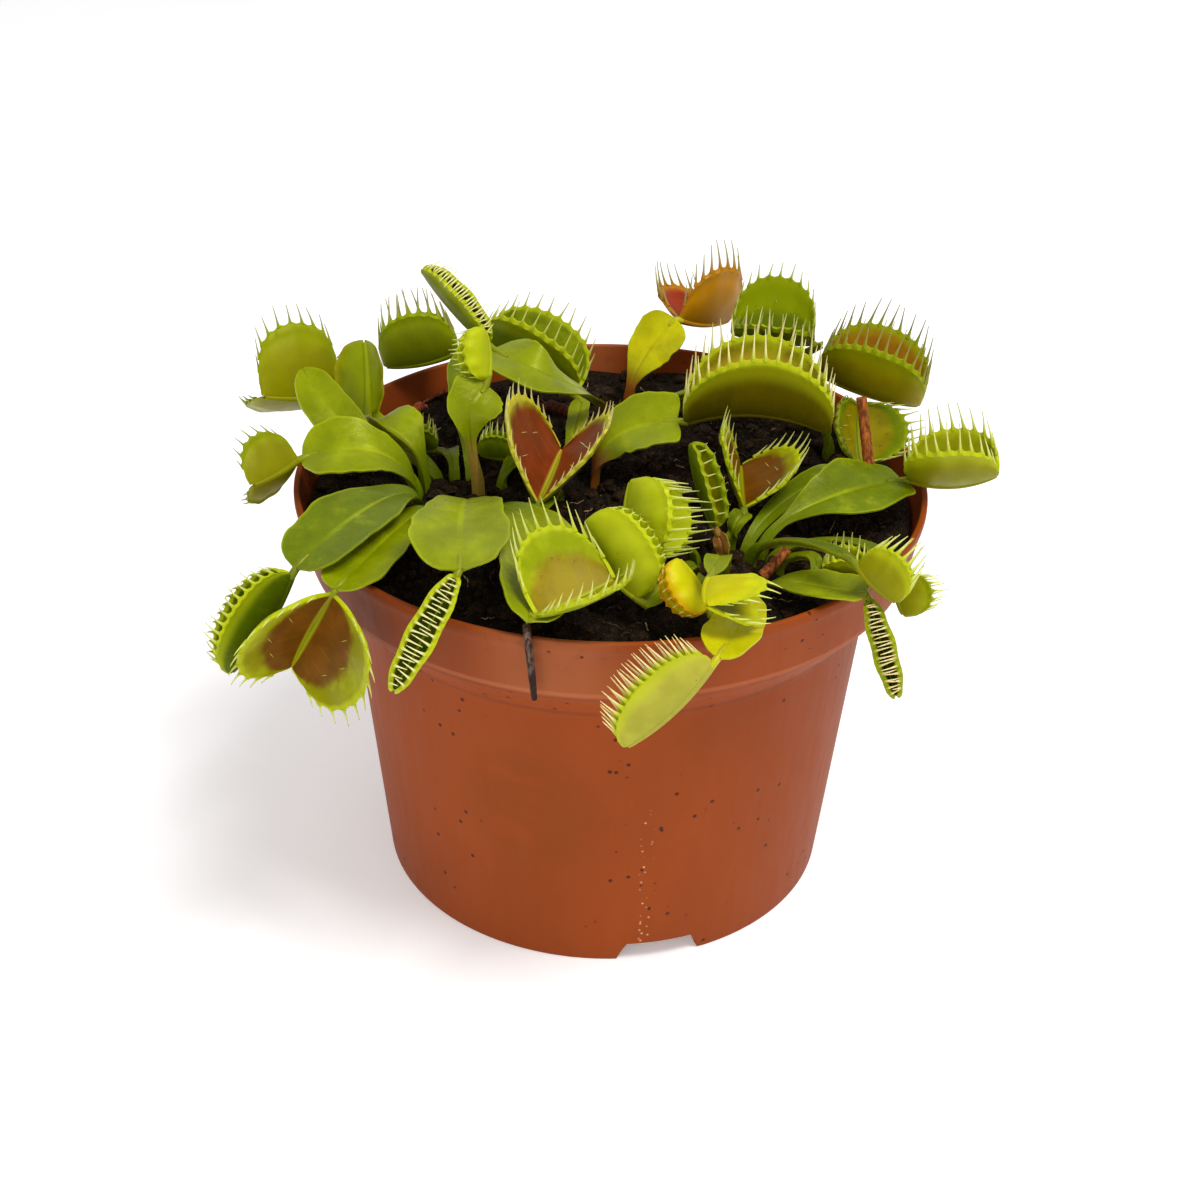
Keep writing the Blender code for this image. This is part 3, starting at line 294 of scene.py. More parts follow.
         neck=(36.2, -34.9, 82), half=1.2, size=(6.8, 5.5), along=(0.95, -0.05, 0), opens=(0, 1, 0.6),
         bite=(20, 26), teeth=(6, 3.5), tones="green green lime moss green bright mint"),
    dict(name="leaf_front_bulb", crown="front", turn=55, ring=3.4, lift=9, bend=(36, -36, 90),
         neck=(41, -47, 92), half=1.2, size=(8.5, 7), along=(0.65, -0.6, 0.2), opens=(0.55, 0.8, 0.1),
         bite=(20, 26), teeth=(8, 4), tones="green green lime moss green bright mint"),
    dict(name="leaf_front_rim", crown="front", turn=32, lift=6, bend=(46.5, -24, 86.5),
         neck=(49.8, -40, 86), half=1.2, size=(6, 6), along=(0.2, -0.9, 0), opens=(0.95, -0.2, 0),
         bite=(22, 24), teeth=(6, 3), tones="green green lime moss green lime mint"),
    # Right crown
    dict(name="leaf_right_brown", crown="right", turn=120, lift=5, bend=(41, 20, 88), neck=(38.5, 20, 96),
         half=2.5, face=(0, 0.9, 0.3), size=(20, 13.5), along=(0.9, -0.3, 0.1), opens=(0.32, 0.75, 0.5),
         bite=(26, 22), teeth=(11, 6), hue="orange", tones="green green lime olive orange lime reed",
         spread=0.9),
)
# What a leaf has unless its row says otherwise
USUAL = dict(waist=0.3, face=(0, 0.9, 0.4), broad=0.8, heart=0.3, keel=0.15, skew=0, bow=0.06, overhang=0.1,
             taper=0.8, curl=15, spread=0.7, hue="lime")
LEAVES = [USUAL | dict(ring=RINGS[row["crown"]]) | row for row in LEAF_ROWS]

# Stub, stalk and root: points of the middle line and its radii, darkest and lightest colour on a screen,
# and for the root the height below which it stays dark
STALKS = (
    dict(name="cut_stub", path=((27.5, -31, 78.6), (29.7, -29.8, 80.8), (31.9, -28.5, 82.9)),
         radii=(1.15, 1.0, 0.9), dark=(92, 44, 16), light=(186, 104, 46)),
    dict(name="dead_stalk", path=((49.9, -3.7, 79.2), (48.4, -0.9, 88), (46.6, 1.6, 98.5)),
         radii=(1.15, 1.1, 1.0), dark=(96, 44, 12), light=(176, 98, 34)),
    dict(name="root_strand", path=((-14, -54, 78.8), (-13.9, -55.4, 82.2), (-13.7, -57.4, 83.3),
                                   (-13.5, -59.4, 82.9), (-13.2, -60.6, 80.5), (-12.8, -59.8, 75.5),
                                   (-12.4, -59, 70)),
         radii=(0.5, 0.65, 0.72, 0.72, 0.7, 0.66, 0.5), dark=(34, 14, 8), light=(114, 88, 74), fade=76.5),
)
# Dry scraps that lie on the peat: end points seen from above, greatest radius and colours
SCRAPS = (
    dict(start=(-43, 29), end=(-38, 37), radius=1.1, dark=(76, 26, 8), light=(150, 66, 28)),
    dict(start=(-18, 35), end=(-4, 28), radius=1.2, dark=(52, 20, 8), light=(108, 50, 26)),
    dict(start=(-39, 39), end=(-30, 43), radius=0.5, dark=(60, 26, 12), light=(130, 66, 32)),
    dict(start=(43, 18), end=(47, 9), radius=0.7, dark=(40, 20, 10), light=(110, 60, 34)),
)
SCRAP_BOW = 1.6
# Smooth seeds on the peat: place seen from above and half length
PEBBLES = ((16.4, 15, 1.4), (19.5, 1.7, 1.5), (18.3, -31.5, 1.3), (32, -33.4, 1.3), (34.4, -32, 1))
PEBBLE_SLIMNESS = 0.62


def smooth(low, high, value):
    """Ease from 0 at low to 1 at high."""
    t = min(max((value - low) / (high - low), 0.0), 1.0)
    return t * t * (3.0 - 2.0 * t)


def seen(direction):
    """Turn a direction seen from the front (right, up, near) into world axes."""
    right, up, near = direction
    tilt_sin, tilt_cos = sin(VIEW_TILT), cos(VIEW_TILT)
    return Vector((right, up * tilt_sin - near * tilt_cos, up * tilt_cos + near * tilt_sin)).normalized()


def around(radius, angle):
    """The place at a radius and an angle round an upright axis."""
    return radius * cos(angle), radius * sin(angle)


def turns(count, offset=0.0):
    """Angles that divide a full turn evenly."""
    return [2 * pi * (i + offset) / count for i in range(count)]


def square_to(direction, axis):
    """The part of a direction that is square to an axis, at unit length."""
    return (direction - axis * direction.dot(axis)).normalized()


def soil_height(x, y):
    """Height of the peat: a low mound with soft lumps."""
    radius = hypot(x, y) / RIM_RADIUS
    lumps = sin(0.21 * x + 1.3) * cos(0.17 * y) + 0.6 * sin(0.33 * y - 0.29 * x)
    return SOIL_EDGE_Z + SOIL_MOUND * (1.0 - radius * radius) + 0.5 * SOIL_ROUGHNESS * lumps


def pit_floor(crown):
    """Height of the bottom of the hole that a crown's stalks stand in."""
    return soil_height(*CROWNS[crown]) - PIT_DEPTH


def stalk_path(leaf):
    """The four control points of a leaf's centre line."""
    turn = radians(leaf["turn"])
    crown_x, crown_y = CROWNS[leaf["crown"]]
    x, y = around(leaf["ring"], turn)
    foot = Vector((crown_x + x, crown_y + y, pit_floor(leaf["crown"]) + GAP))
    return foot, foot + Vector((0, 0, leaf["lift"])), Vector(leaf["bend"]), Vector(leaf["neck"])


def path_point(points, u):
    """Point and direction on the centre line at u from 0 to 1."""
    a, b, c, d = points
    v = 1.0 - u
    place = a * v ** 3 + b * 3 * v * v * u + c * 3 * v * u * u + d * u ** 3
    heading = (b - a) * v * v + (c - b) * 2 * v * u + (d - c) * u * u
    return place, heading.normalized()


def blade_half_width(leaf, u):
    """Half the width of the leaf stalk at u: slim at the crown, broad and round before the trap."""
    broad = leaf["broad"]
    half = STALK_HALF + (leaf["half"] - STALK_HALF) * smooth(leaf["waist"] - 0.1, broad, u)
    if u > broad:
        half *= sqrt(max(0.0, 1.0 - ((u - broad) / (1.0 - broad)) ** 2))
    return max(half, NECK_HALF)


def trap_axes(leaf):
    """Unit axes of a trap: along its midrib, out of its mouth and across."""
    along = seen(leaf["along"])
    mouth = square_to(seen(leaf["opens"]), along)
    return along, mouth, along.cross(mouth)


def lobe_point(leaf, side, phi, k):
    """Point of a lobe: phi from 0 at the neck to pi at the tip, k from 0 at the midrib to 1 at the rim."""
    length, depth = leaf["size"]
    along, mouth, across = trap_axes(leaf)
    reach = (1.0 + leaf["overhang"] * k * sin(phi)) * cos(phi)
    x = 0.5 * length * (1.0 - reach)
    t = min(max(x / length, 0.0), 1.0)
    start = Vector(leaf["neck"]) + along * (NECK_LENGTH + x)
    start -= mouth * leaf["bow"] * length * 4.0 * t * (1.0 - t)
    gape, bulge = (radians(angle) for angle in leaf["bite"])
    first = gape + bulge
    last = first - 2.0 * bulge * k
    local = depth * max(sin(phi), 0.0) ** leaf["taper"] / (2.0 * bulge)
    out = local * (sin(first) - sin(last))
    away = local * (cos(last) - cos(first))
    return start + mouth * out + across * (side * away)


def lengths_along(points):
    """How far along a line each of its points lies."""
    lengths = [0.0]
    for a, b in zip(points, points[1:]):
        lengths.append(lengths[-1] + (b - a).length)
    return lengths


def rim_angles(leaf, side, fractions):
    """The phi values that lie at the given fractions of the rim's length."""
    count = 48
    angles = [pi * i / count for i in range(count + 1)]
    lengths = lengths_along([lobe_point(leaf, side, phi, 1.0) for phi in angles])
    found = []
    for fraction in fractions:
        target = fraction * lengths[-1]
        i = max(j for j in range(count) if lengths[j] <= target)
        step = (target - lengths[i]) / (lengths[i + 1] - lengths[i])
        found.append(angles[i] + (angles[i + 1] - angles[i]) * step)
    return found


def srgb(red, green, blue):
    """A screen colour, 0 to 255, as the shader's linear colour."""
    shares = (red / 255, green / 255, blue / 255)
    return tuple(((share + 0.055) / 1.055) ** 2.4 if share > 0.04 else share / 12.92 for share in shares)


# Colours as on a screen: leaves, then the pot, including its painted shade, painted sheen and painted
# highlight, then specks of grit and dirt
PALETTE = dict(
    lime=(132, 144, 0), bright=(172, 181, 14), yellow=(196, 190, 4), green=(98, 114, 2), fern=(112, 122, 2),
    pine=(74, 90, 2), deep=(62, 76, 2), pale=(166, 161, 56), olive=(146, 132, 2), umber=(104, 92, 2),
    moss=(134, 132, 0), rust=(118, 68, 4), orange=(160, 106, 12), amber=(184, 124, 0), gold=(184, 152, 36),
    honey=(150, 128, 14), brick=(136, 56, 20), red=(156, 40, 14), blush=(150, 94, 48), tan=(164, 128, 56),
    butter=(196, 186, 50), cream=(232, 222, 158), peach=(236, 212, 150), mint=(204, 208, 116),
    reed=(138, 134, 78),
    plastic=(139, 59, 4), scuff=(166, 84, 34), painted_shade=(106, 46, 12), painted_sheen=(166, 98, 60),
    stain=(130, 57, 0), dirt=(52, 22, 10), edge=(190, 112, 70), crease_shade=(92, 36, 8), dust=(96, 54, 32),
    inside=(60, 26, 8), drip=(204, 150, 110),
    grit=(128, 102, 68), blade_speck=(74, 60, 10), lobe_speck=(60, 44, 8),
)
PALETTE = {name: srgb(*color) for name, color in PALETTE.items()}


class Nodes:
    """A material under construction: makes nodes and joins them in one call."""

    def __init__(self, name):
        self.material = bpy.data.materials.new(name)
        self.material.use_nodes = True
        self.tree = self.material.node_tree
        self.surface = self.tree.nodes["Principled BSDF"]

    def put(self, socket, value):
        if hasattr(value, "links"):
            self.tree.links.new(value, socket)
        elif isinstance(value, tuple) and len(value) == 3 and socket.type == "RGBA":
            socket.default_value = (*value, 1.0)
        else:
            socket.default_value = value

    def add(self, kind, output=0, settings=None, **inputs):
        node = self.tree.nodes.new("ShaderNode" + kind)
        for name, value in (settings or {}).items():
            setattr(node, name, value)
        for name, value in inputs.items():
            key = int(name[1:]) if name[0] == "n" and name[1:].isdigit() else name.replace("_", " ")
            self.put(node.inputs[key], value)
        return node.outputs[output]

    def math(self, operation, *values):
        inputs = {f"n{i}": value for i, value in enumerate(values)}
        return self.add("Math", settings={"operation": operation}, **inputs)

    def times(self, first, second):
        return self.math("MULTIPLY", first, second)

    def off(self, value, centre):
        """How far a value lies from a centre."""
        return self.math("ABSOLUTE", self.math("SUBTRACT", value, centre))

    def ramp(self, value, low, high, start=0.0, end=1.0):
        """Map a value smoothly from low..high to start..end."""
        return self.add("MapRange", settings={"interpolation_type": "SMOOTHSTEP"}, Value=value, n1=low,
                        n2=high, n3=start, n4=end)

    def mix(self, share, first, second):
        return self.add("Mix", 2, {"data_type": "RGBA"}, n0=share, n6=first, n7=second)

    def tint(self, tone, color, value, low, high, most=1.0):
        """Lay a colour over a tone: none of it where the value is low, and most where it is high."""
        return self.mix(self.ramp(value, low, high, 0.0, most), tone, color)

    def noise(self, place, scale, detail=3.0, roughness=0.55):
        return self.add("TexNoise", Vector=place, Scale=scale, Detail=detail, Roughness=roughness)

    def object_place(self):
        """Place on the object, in millimetres."""
        place = self.add("TexCoord", 3)
        return self.add("VectorMath", settings={"operation": "SCALE"}, n0=place, Scale=1000.0)

    def split(self, place):
        """The three numbers of a place."""
        node = self.tree.nodes.new("ShaderNodeSeparateXYZ")
        self.put(node.inputs[0], place)
        return tuple(node.outputs)

    def spot(self):
        """The stored surface coordinates: all in one, then along, across and side."""
        place = self.add("Attribute", 1, settings={"attribute_name": "spot"})
        return place, *self.split(place)

    def stretched(self, place, x, y, z):
        return self.add("VectorMath", settings={"operation": "MULTIPLY"}, n0=place, n1=(x, y, z))

    def bump(self, height, distance, strength, normal=None):
        inputs = {"Height": height, "Distance": distance, "Strength": strength}
        if normal is not None:
            inputs["Normal"] = normal
        return self.add("Bump", **inputs)

    def finish(self, **inputs):
        for name, value in inputs.items():
            self.put(self.surface.inputs[name.replace("_", " ")], value)
        return self.material


def hue(name, factor=1.0):
    """A colour of the palette, darker or lighter by a factor."""
    return tuple(c * factor for c in PALETTE[name])


made_materials = {}


def once(make):
    """Keep one material for each set of arguments."""
    def made(*names):
        key = (make.__name__, *names)
        if key not in made_materials:
            made_materials[key] = make(*names)
        return made_materials[key]
    return made


def wax(m, tone, world, relief, rough, gloss):
    """Finish a living surface: soft gloss, light that passes into the flesh, and skin grain."""
    relief = m.bump(m.noise(world, 3.4, 3.0), 0.00005, 0.35, relief)
    return m.finish(Base_Color=tone, Roughness=rough, Normal=relief, Subsurface_Weight=0.15,
                    Subsurface_Radius=(1.0, 0.9, 0.15), Subsurface_Scale=0.001, Specular_IOR_Level=gloss,
                    Specular_Tint=(1.0, 0.95, 0.3))


@once
def blade_material(color, foot, rib):
    """Waxy leaf stalk: tinted foot, mottled broad part, painted shade on one half, midrib line and lighter
    edge.
    """
    m = Nodes(f"blade_{color}_{foot}_{rib}")
    place, along, across, side = m.spot()
    world = m.object_place()
    mottle = m.noise(world, 0.13, 5.0, 0.6)
    tone = m.tint(hue(color, 0.7), hue(color), mottle, 0.3, 0.6)
    tone = m.tint(tone, hue("bright"), mottle, 0.54, 0.74, 0.55)
    tone = m.tint(tone, hue("moss"), m.noise(world, 0.35, 3.0), 0.5, 0.72, 0.2)
    streak = m.noise(m.stretched(place, 3.0, 9.0, 1.0), 2.2, 3.0)
    tone = m.tint(tone, hue(color, 0.7), streak, 0.5, 0.8, 0.25)
    width = m.math("ABSOLUTE", across)
    # Painted shade: one half of the blade is darker, as on its shaded side
    tone = m.tint(tone, hue(color, 0.62), across, 0.1, -0.5, 0.3)
    tone = m.tint(tone, hue("bright"), width, 0.9, 1.0, 0.35)
    rib_share = m.times(m.ramp(width, 0.02, 0.1, 0.42, 0.0), m.ramp(along, 0.95, 0.6))
    tone = m.mix(rib_share, tone, hue(rib))
    tone = m.tint(tone, hue("green", 0.8), along, 0.62, 0.2, 0.55)
    tone = m.tint(tone, hue(foot), along, 0.5, 0.2, 0.9)
    specks = m.add("TexVoronoi", Vector=world, Scale=0.55)
    few = m.ramp(m.noise(world, 0.09), 0.55, 0.62, 0.0, 0.7)
    tone = m.mix(m.times(m.ramp(specks, 0.09, 0.05), few), tone, hue("blade_speck"))
    tone = m.mix(m.times(side, 0.35), tone, hue("pale", 0.6))
    relief = m.bump(m.noise(m.stretched(place, 3.0, 26.0, 1.0), 1.4, 2.0), 0.00009, 0.35)
    relief = m.bump(mottle, 0.0012, 0.35, relief)
    return wax(m, tone, world, relief, m.ramp(m.noise(world, 0.4), 0.3, 0.7, 0.26, 0.4), 0.32)


@once
def lobe_material(outside, inside, rim, spread):
    """Trap lobe: its own colour on each face, fine cross veins, and a lighter rim."""
    m = Nodes(f"lobe_{outside}_{inside}_{rim}_{int(spread * 100)}")
    place, along, across, side = m.spot()
    world = m.object_place()
    veins = m.noise(m.stretched(place, 30.0, 1.2, 1.0), 1.6, 2.0)
    mottle = m.noise(world, 0.2, 4.0, 0.6)
    middle = m.off(along, 0.5)
    heart = m.times(m.ramp(middle, 0.42, 0.1), m.ramp(across, 0.85, 0.35))
    face = m.tint(hue(outside), hue(outside, 0.72), mottle, 0.34, 0.66, 0.7)
    face = m.mix(m.times(heart, 0.4), face, hue(outside, 0.7))
    face = m.tint(face, hue(rim), across, 0.6, 0.9, 0.55)
    well = m.tint(hue(inside, 0.66), hue(inside), mottle, 0.3, 0.7)
    reach = m.math("ADD", across, m.times(m.math("SUBTRACT", mottle, 0.5), 0.3))
    reach = m.math("ADD", reach, m.times(middle, 0.25))
    band = m.tint(hue(outside), hue(rim), mottle, 0.4, 0.7, 0.5)
    well = m.tint(well, band, reach, spread - 0.12, spread + 0.1)
    well = m.tint(well, hue(rim, 0.9), across, 0.07, 0.02, 0.8)
    tone = m.mix(side, well, face)
    tone = m.tint(tone, hue(rim, 0.9), veins, 0.5, 0.8, 0.08)
    tone = m.tint(tone, hue(rim), across, 0.9, 0.97, 0.85)
    tone = m.mix(m.times(side, m.ramp(across, 0.12, 0.0, 0.0, 0.5)), tone, hue(outside, 0.7))
    specks = m.add("TexVoronoi", Vector=world, Scale=0.6)
    few = m.ramp(m.noise(world, 0.12), 0.55, 0.62, 0.0, 0.7)
    tone = m.mix(m.times(m.ramp(specks, 0.08, 0.05), few), tone, hue("lobe_speck"))
    return wax(m, tone, world, m.bump(veins, 0.00006, 0.3), m.ramp(mottle, 0.3, 0.7, 0.36, 0.52), 0.24)


@once
def tooth_material(rim, tip):
    """Bristle teeth: the rim's colour at the root, paler and drier towards the tip."""
    m = Nodes(f"teeth_{rim}_{tip}")
    along = m.spot()[1]
    world = m.object_place()
    grain = m.noise(world, 1.4, 2.0)
    tone = m.tint(hue(rim), hue(tip), along, 0.1, 0.5)
    tone = m.tint(tone, hue("tan", 0.8), along, 0.8, 1.0, 0.5)
    tone = m.tint(tone, hue(rim, 0.8), grain, 0.4, 0.7, 0.25)
    return wax(m, tone, world, m.bump(grain, 0.00003, 0.3), m.ramp(grain, 0.3, 0.7, 0.4, 0.55), 0.24)


def pot_material():
    """Semi-matt terracotta plastic with flow marks, dust, fine specks and a faint stain; painted shade on
    the band's left, in its creases and inside, a painted sheen on the band and a painted highlight line on
    its lower edge.
    """
    m = Nodes("terracotta_plastic")
    profile = m.spot()[1]
    world = m.object_place()
    x, y, z = m.split(world)
    cloud = m.noise(m.stretched(world, 1.0, 1.0, 0.6), 0.045, 4.0)
    tone = m.tint(hue("plastic", 0.93), hue("plastic", 1.05), cloud, 0.3, 0.7)
    scuff = m.noise(m.stretched(world, 1.0, 1.0, 0.12), 0.5, 5.0, 0.65)
    tone = m.tint(tone, hue("scuff"), scuff, 0.62, 0.8, 0.22)
    band = m.ramp(z, 66.0, 71.0)
    # Painted shade: the rim band is darker towards its left side
    tone = m.mix(m.times(band, m.ramp(x, -8.0, -34.0, 0.0, 0.5)), tone, hue("painted_shade"))
    # Painted highlight: a sheen painted on the rim band, a little left of its middle
    painted_sheen = m.times(m.ramp(x, -24.0, -12.0), m.ramp(x, 8.0, -4.0))
    tone = m.mix(m.times(m.times(band, painted_sheen), 0.4), tone, hue("painted_sheen"))
    stain = m.noise(m.stretched(world, 1.0, 1.0, 1.6), 0.12, 3.0)
    stain_place = m.add("VectorMath", 1, settings={"operation": "DISTANCE"}, n0=world, n1=STAIN_PLACE)
    stain_share = m.times(m.ramp(stain_place, 17.0, 10.0, 0.0, 0.65), m.ramp(stain, 0.3, 0.5))
    tone = m.mix(stain_share, tone, hue("stain"))
    cells = m.add("TexVoronoi", Vector=world, Scale=0.36)
    few = m.ramp(m.noise(world, 0.06, 2.0), 0.54, 0.6)
    dirt = m.times(m.ramp(cells, 0.17, 0.11), few)
    tone = m.mix(m.times(dirt, 0.9), tone, hue("dirt"))
    # Painted highlight: a light line along the band's lower edge
    edge = m.ramp(m.off(z, EDGE_HIGHLIGHT_Z), 0.7, 0.2, 0.0, 0.3)
    tone = m.mix(edge, tone, hue("edge"))
    # Painted shade: dark lines in the creases under the band's edge and at the shoulder
    for height, width in CREASE_SHADES:
        crease_shade = m.ramp(m.off(z, height), width, 0.2, 0.0, 0.35)
        tone = m.mix(crease_shade, tone, hue("crease_shade"))
    rim_dust = m.times(m.ramp(z, 70.0, 82.0, 0.0, 0.35), m.ramp(m.noise(world, 0.5, 4.0), 0.5, 0.75))
    tone = m.mix(rim_dust, tone, hue("dust"))
    # Painted shade: the inside of the pot is darker
    tone = m.tint(tone, hue("inside"), profile, INSIDE_FROM, INSIDE_FROM + 0.02, 0.5)
    line = m.off(x, DRIP_X)
    low_front = m.times(m.ramp(z, 40.0, 34.0), m.ramp(y, 0.0, -20.0))
    line_share = m.times(m.ramp(line, 1.6, 0.4), low_front)
    drops = m.ramp(m.add("TexVoronoi", Vector=world, Scale=0.8), 0.24, 0.14)
    tone = m.mix(m.times(line_share, drops), tone, hue("drip"))
    relief = m.bump(m.noise(world, 1.6, 3.0), 0.00006, 0.35)
    relief = m.bump(dirt, 0.00025, 0.6, relief)
    rough = m.ramp(scuff, 0.3, 0.75, 0.52, 0.62)
    return m.finish(Base_Color=tone, Roughness=rough, Normal=relief, Specular_IOR_Level=0.14)


def peat_material(name, dark, light):
    """Moist peat: nearly black hollows, browner crumbs, pale grit and wet glints."""
    m = Nodes(name)
    world = m.object_place()
    grain = m.noise(world, 0.9, 6.0, 0.7)
    tone = m.tint(srgb(*dark), srgb(*light), grain, 0.4, 0.8)
    tone = m.tint(tone, hue("grit"), m.noise(world, 3.0, 2.0), 0.66, 0.72, 0.7)
    relief = m.bump(grain, 0.0009, 0.9)
    rough = m.ramp(m.noise(world, 1.3, 3.0), 0.55, 0.68, 0.9, 0.32)
    return m.finish(Base_Color=tone, Roughness=rough, Normal=relief, Specular_IOR_Level=0.2,
                    Specular_Tint=(1.0, 0.85, 0.65))


def dry_material(name, dark, light, stretch=(1.0, 1.0, 0.25), fade=None):
    """Dry stalk, fibre or root: streaked along its length, and darker below the height "fade"."""
    m = Nodes(name)
    world = m.object_place()
    grain = m.noise(m.stretched(world, *stretch), 1.8, 5.0, 0.65)
    tone = m.tint(srgb(*dark), srgb(*light), grain, 0.35, 0.68)
    if fade:
        tone = m.tint(tone, srgb(*dark), m.split(world)[2], fade + 1.5, fade - 1.5, 0.95)
    relief = m.bump(grain, 0.0003, 0.7)
    return m.finish(Base_Color=tone, Roughness=m.ramp(grain, 0.3, 0.7, 0.85, 0.6), Normal=relief,
                    Specular_IOR_Level=0.2)


def new_object(name, data):
    """Put a new object with this data into the scene."""
    thing = bpy.data.objects.new(name, data)
    bpy.context.scene.collection.objects.link(thing)
    return thing


class Growth:
    """Points in millimetres with their surface coordinates, and faces with a paint number."""

    def __init__(self):
        self.points = []
        self.spots = []
        self.faces = []
        self.paints = []

    def add(self, point, spot=(0.0, 0.0, 0.0)):
        self.points.append(point)
        self.spots.append(spot)
        return len(self.points) - 1

    def face(self, corners, paint):
        corners = list(dict.fromkeys(corners))
        if len(corners) > 2:
            self.faces.append(corners)
            self.paints.append(paint)

    def strip(self, first, second, paint):
        for a, b, c, d in zip(first, first[1:], second[1:], second):
            self.face((a, b, c, d), paint)

    def grid(self, rows, paint):
        for first, second in zip(rows, rows[1:]):
            self.strip(first, second, paint)

    def slab(self, front, back, paint):
        """Close two grids of the same size into one thin body."""
        self.grid(front, paint)
        self.grid([row[::-1] for row in back], paint)
        self.strip([row[0] for row in back], [row[0] for row in front], paint)
        self.strip([row[-1] for row in front], [row[-1] for row in back], paint)
        self.strip(front[0], back[0], paint)
        self.strip(back[-1], front[-1], paint)

    def tube(self, path, radii, paint, sides=8, along=(0.0, 1.0), across=0.0, later=None):
        """A round bar along a path, closed at both ends; "later" is a ring and the paint after it."""
        rings = []
        square = Vector((0.31, 0.87, 0.39))
        for i, (place, radius) in enumerate(zip(path, radii)):
            heading = (path[min(i + 1, len(path) - 1)] - path[max(i - 1, 0)]).normalized()
            square = square_to(square, heading)
            other = heading.cross(square)
            share = along[0] + (along[1] - along[0]) * i / (len(path) - 1)
            ring = []
            for angle in turns(sides):
                out = square * cos(angle) + other * sin(angle)
                ring.append(self.add(place + out * radius, (share, across, 1.0)))
            rings.append(ring + ring[:1])
        change, last = later or (len(rings) - 1, paint)
        self.grid(rings[:change + 1], paint)
        self.grid(rings[change:], last)
        self.face(rings[0][:-1][::-1], paint)
        self.face(rings[-1][:-1], last)

    def build(self, name, materials):
        mesh = bpy.data.meshes.new(name)
        mesh.from_pydata([tuple((p + SHIFT) * MM) for p in self.points], [], self.faces)
        for made in materials:
            mesh.materials.append(made)
        mesh.polygons.foreach_set("material_index", self.paints)
        shape = bmesh.new()
        shape.from_mesh(mesh)
        bmesh.ops.recalc_face_normals(shape, faces=shape.faces)
        shape.to_mesh(mesh)
        shape.free()
        stored = mesh.attributes.new("spot", "FLOAT_VECTOR", "POINT")
        stored.data.foreach_set("vector", [value for spot in self.spots for value in spot])
        mesh.shade_smooth()
        mesh.set_sharp_from_angle(angle=SHARP_ANGLE)
        return new_object(name, mesh)


def settle(thing, slot, *nodes):
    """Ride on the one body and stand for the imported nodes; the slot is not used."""
    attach(thing, "root")
    if nodes:
        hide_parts(*nodes)


def tooth(growth, root, outward, inward, length, curl, radius):
    """One bristle: broad at the root, then slender, bending slowly towards the trap's mouth."""
    path = [root - outward * 0.35]
    radii = [radius * 1.25]
    place = root
    for i in range(TOOTH_RINGS):
        share = i / (TOOTH_RINGS - 1)
        path.append(place)
        slimming = 0.42 * (1.0 - share) + 0.58 * (1.0 - share) ** 5
        radii.append(TOOTH_TIP + (radius - TOOTH_TIP) * slimming)
        angle = curl * (0.55 + 0.9 * share)
        heading = outward * cos(angle) + inward * sin(angle)
        place = place + heading * (length / (TOOTH_RINGS - 1))
    growth.tube(path, radii, BRISTLE, 6)


def grow_blade(growth, leaf, draw):
    """The leaf stalk: slim foot, broad blade with a grooved midrib and gently waved edges."""
    path = stalk_path(leaf)
    turn = radians(leaf["turn"])
    inward = Vector((-cos(turn), -sin(turn), 0))
    face = seen(leaf["face"])
    phase = draw.uniform(0.0, 2.0 * pi)
    waves = draw.uniform(1.2, 2.4)
    seed = Vector((draw.uniform(0, 50), draw.uniform(0, 50), 0))
    front, back = [], []
    for i in range(BLADE_ROWS + 1):
        u = i / BLADE_ROWS
        place, heading = path_point(path, u)
        normal = square_to(inward.lerp(face, smooth(0.0, 0.45, u)), heading)
        side = heading.cross(normal)
        stalk_thick = STALK_THICK + (BLADE_THICK - STALK_THICK) * smooth(0.0, 0.5, u)
        forward = leaf["heart"] * smooth(0.6, 0.95, u)
        lift = leaf["keel"] * smooth(0.1, 0.4, u)
        half = blade_half_width(leaf, u)
        skew = leaf["skew"] * smooth(0.2, 0.6, u)
        wave_height = WAVE * half * smooth(0.3, 0.7, u)
        rows = [], []
        for j in range(BLADE_COLUMNS + 1):
            v = 2.0 * j / BLADE_COLUMNS - 1.0
            edge_place = seed + Vector((u * 7.0, copysign(3.0, v), 0.0))
            uneven = UNEVEN[0] * noise.noise(edge_place) + UNEVEN[1] * noise.noise(edge_place * 2.6)
            uneven *= smooth(0.4, 0.6, u)
            x = half * v * (1.0 + copysign(skew, v) + uneven * abs(v))
            rise = lift * (sqrt(x * x + 0.36) - 0.6)
            swing = 2 * pi * waves * u + phase + copysign(1.4, v)
            rise += wave_height * v * v * sin(swing)
            rise -= GROOVE * exp(-(v / 0.09) ** 2) * smooth(0.15, 0.4, u)
            top = place + side * x + heading * (forward * abs(x)) + normal * rise
            edge = smooth(0.55, 1.0, abs(v)) * smooth(0.1, 0.3, u)
            thick = stalk_thick + (EDGE_THICK - stalk_thick) * edge
            thick += RIB * exp(-(v / 0.12) ** 2) * smooth(0.2, 0.5, u)
            rows[0].append(growth.add(top, (u, v, 0.0)))
            rows[1].append(growth.add(top - normal * thick, (u, v, 1.0)))
        front.append(rows[0])
        back.append(rows[1])
    growth.slab(front, back, BLADE)


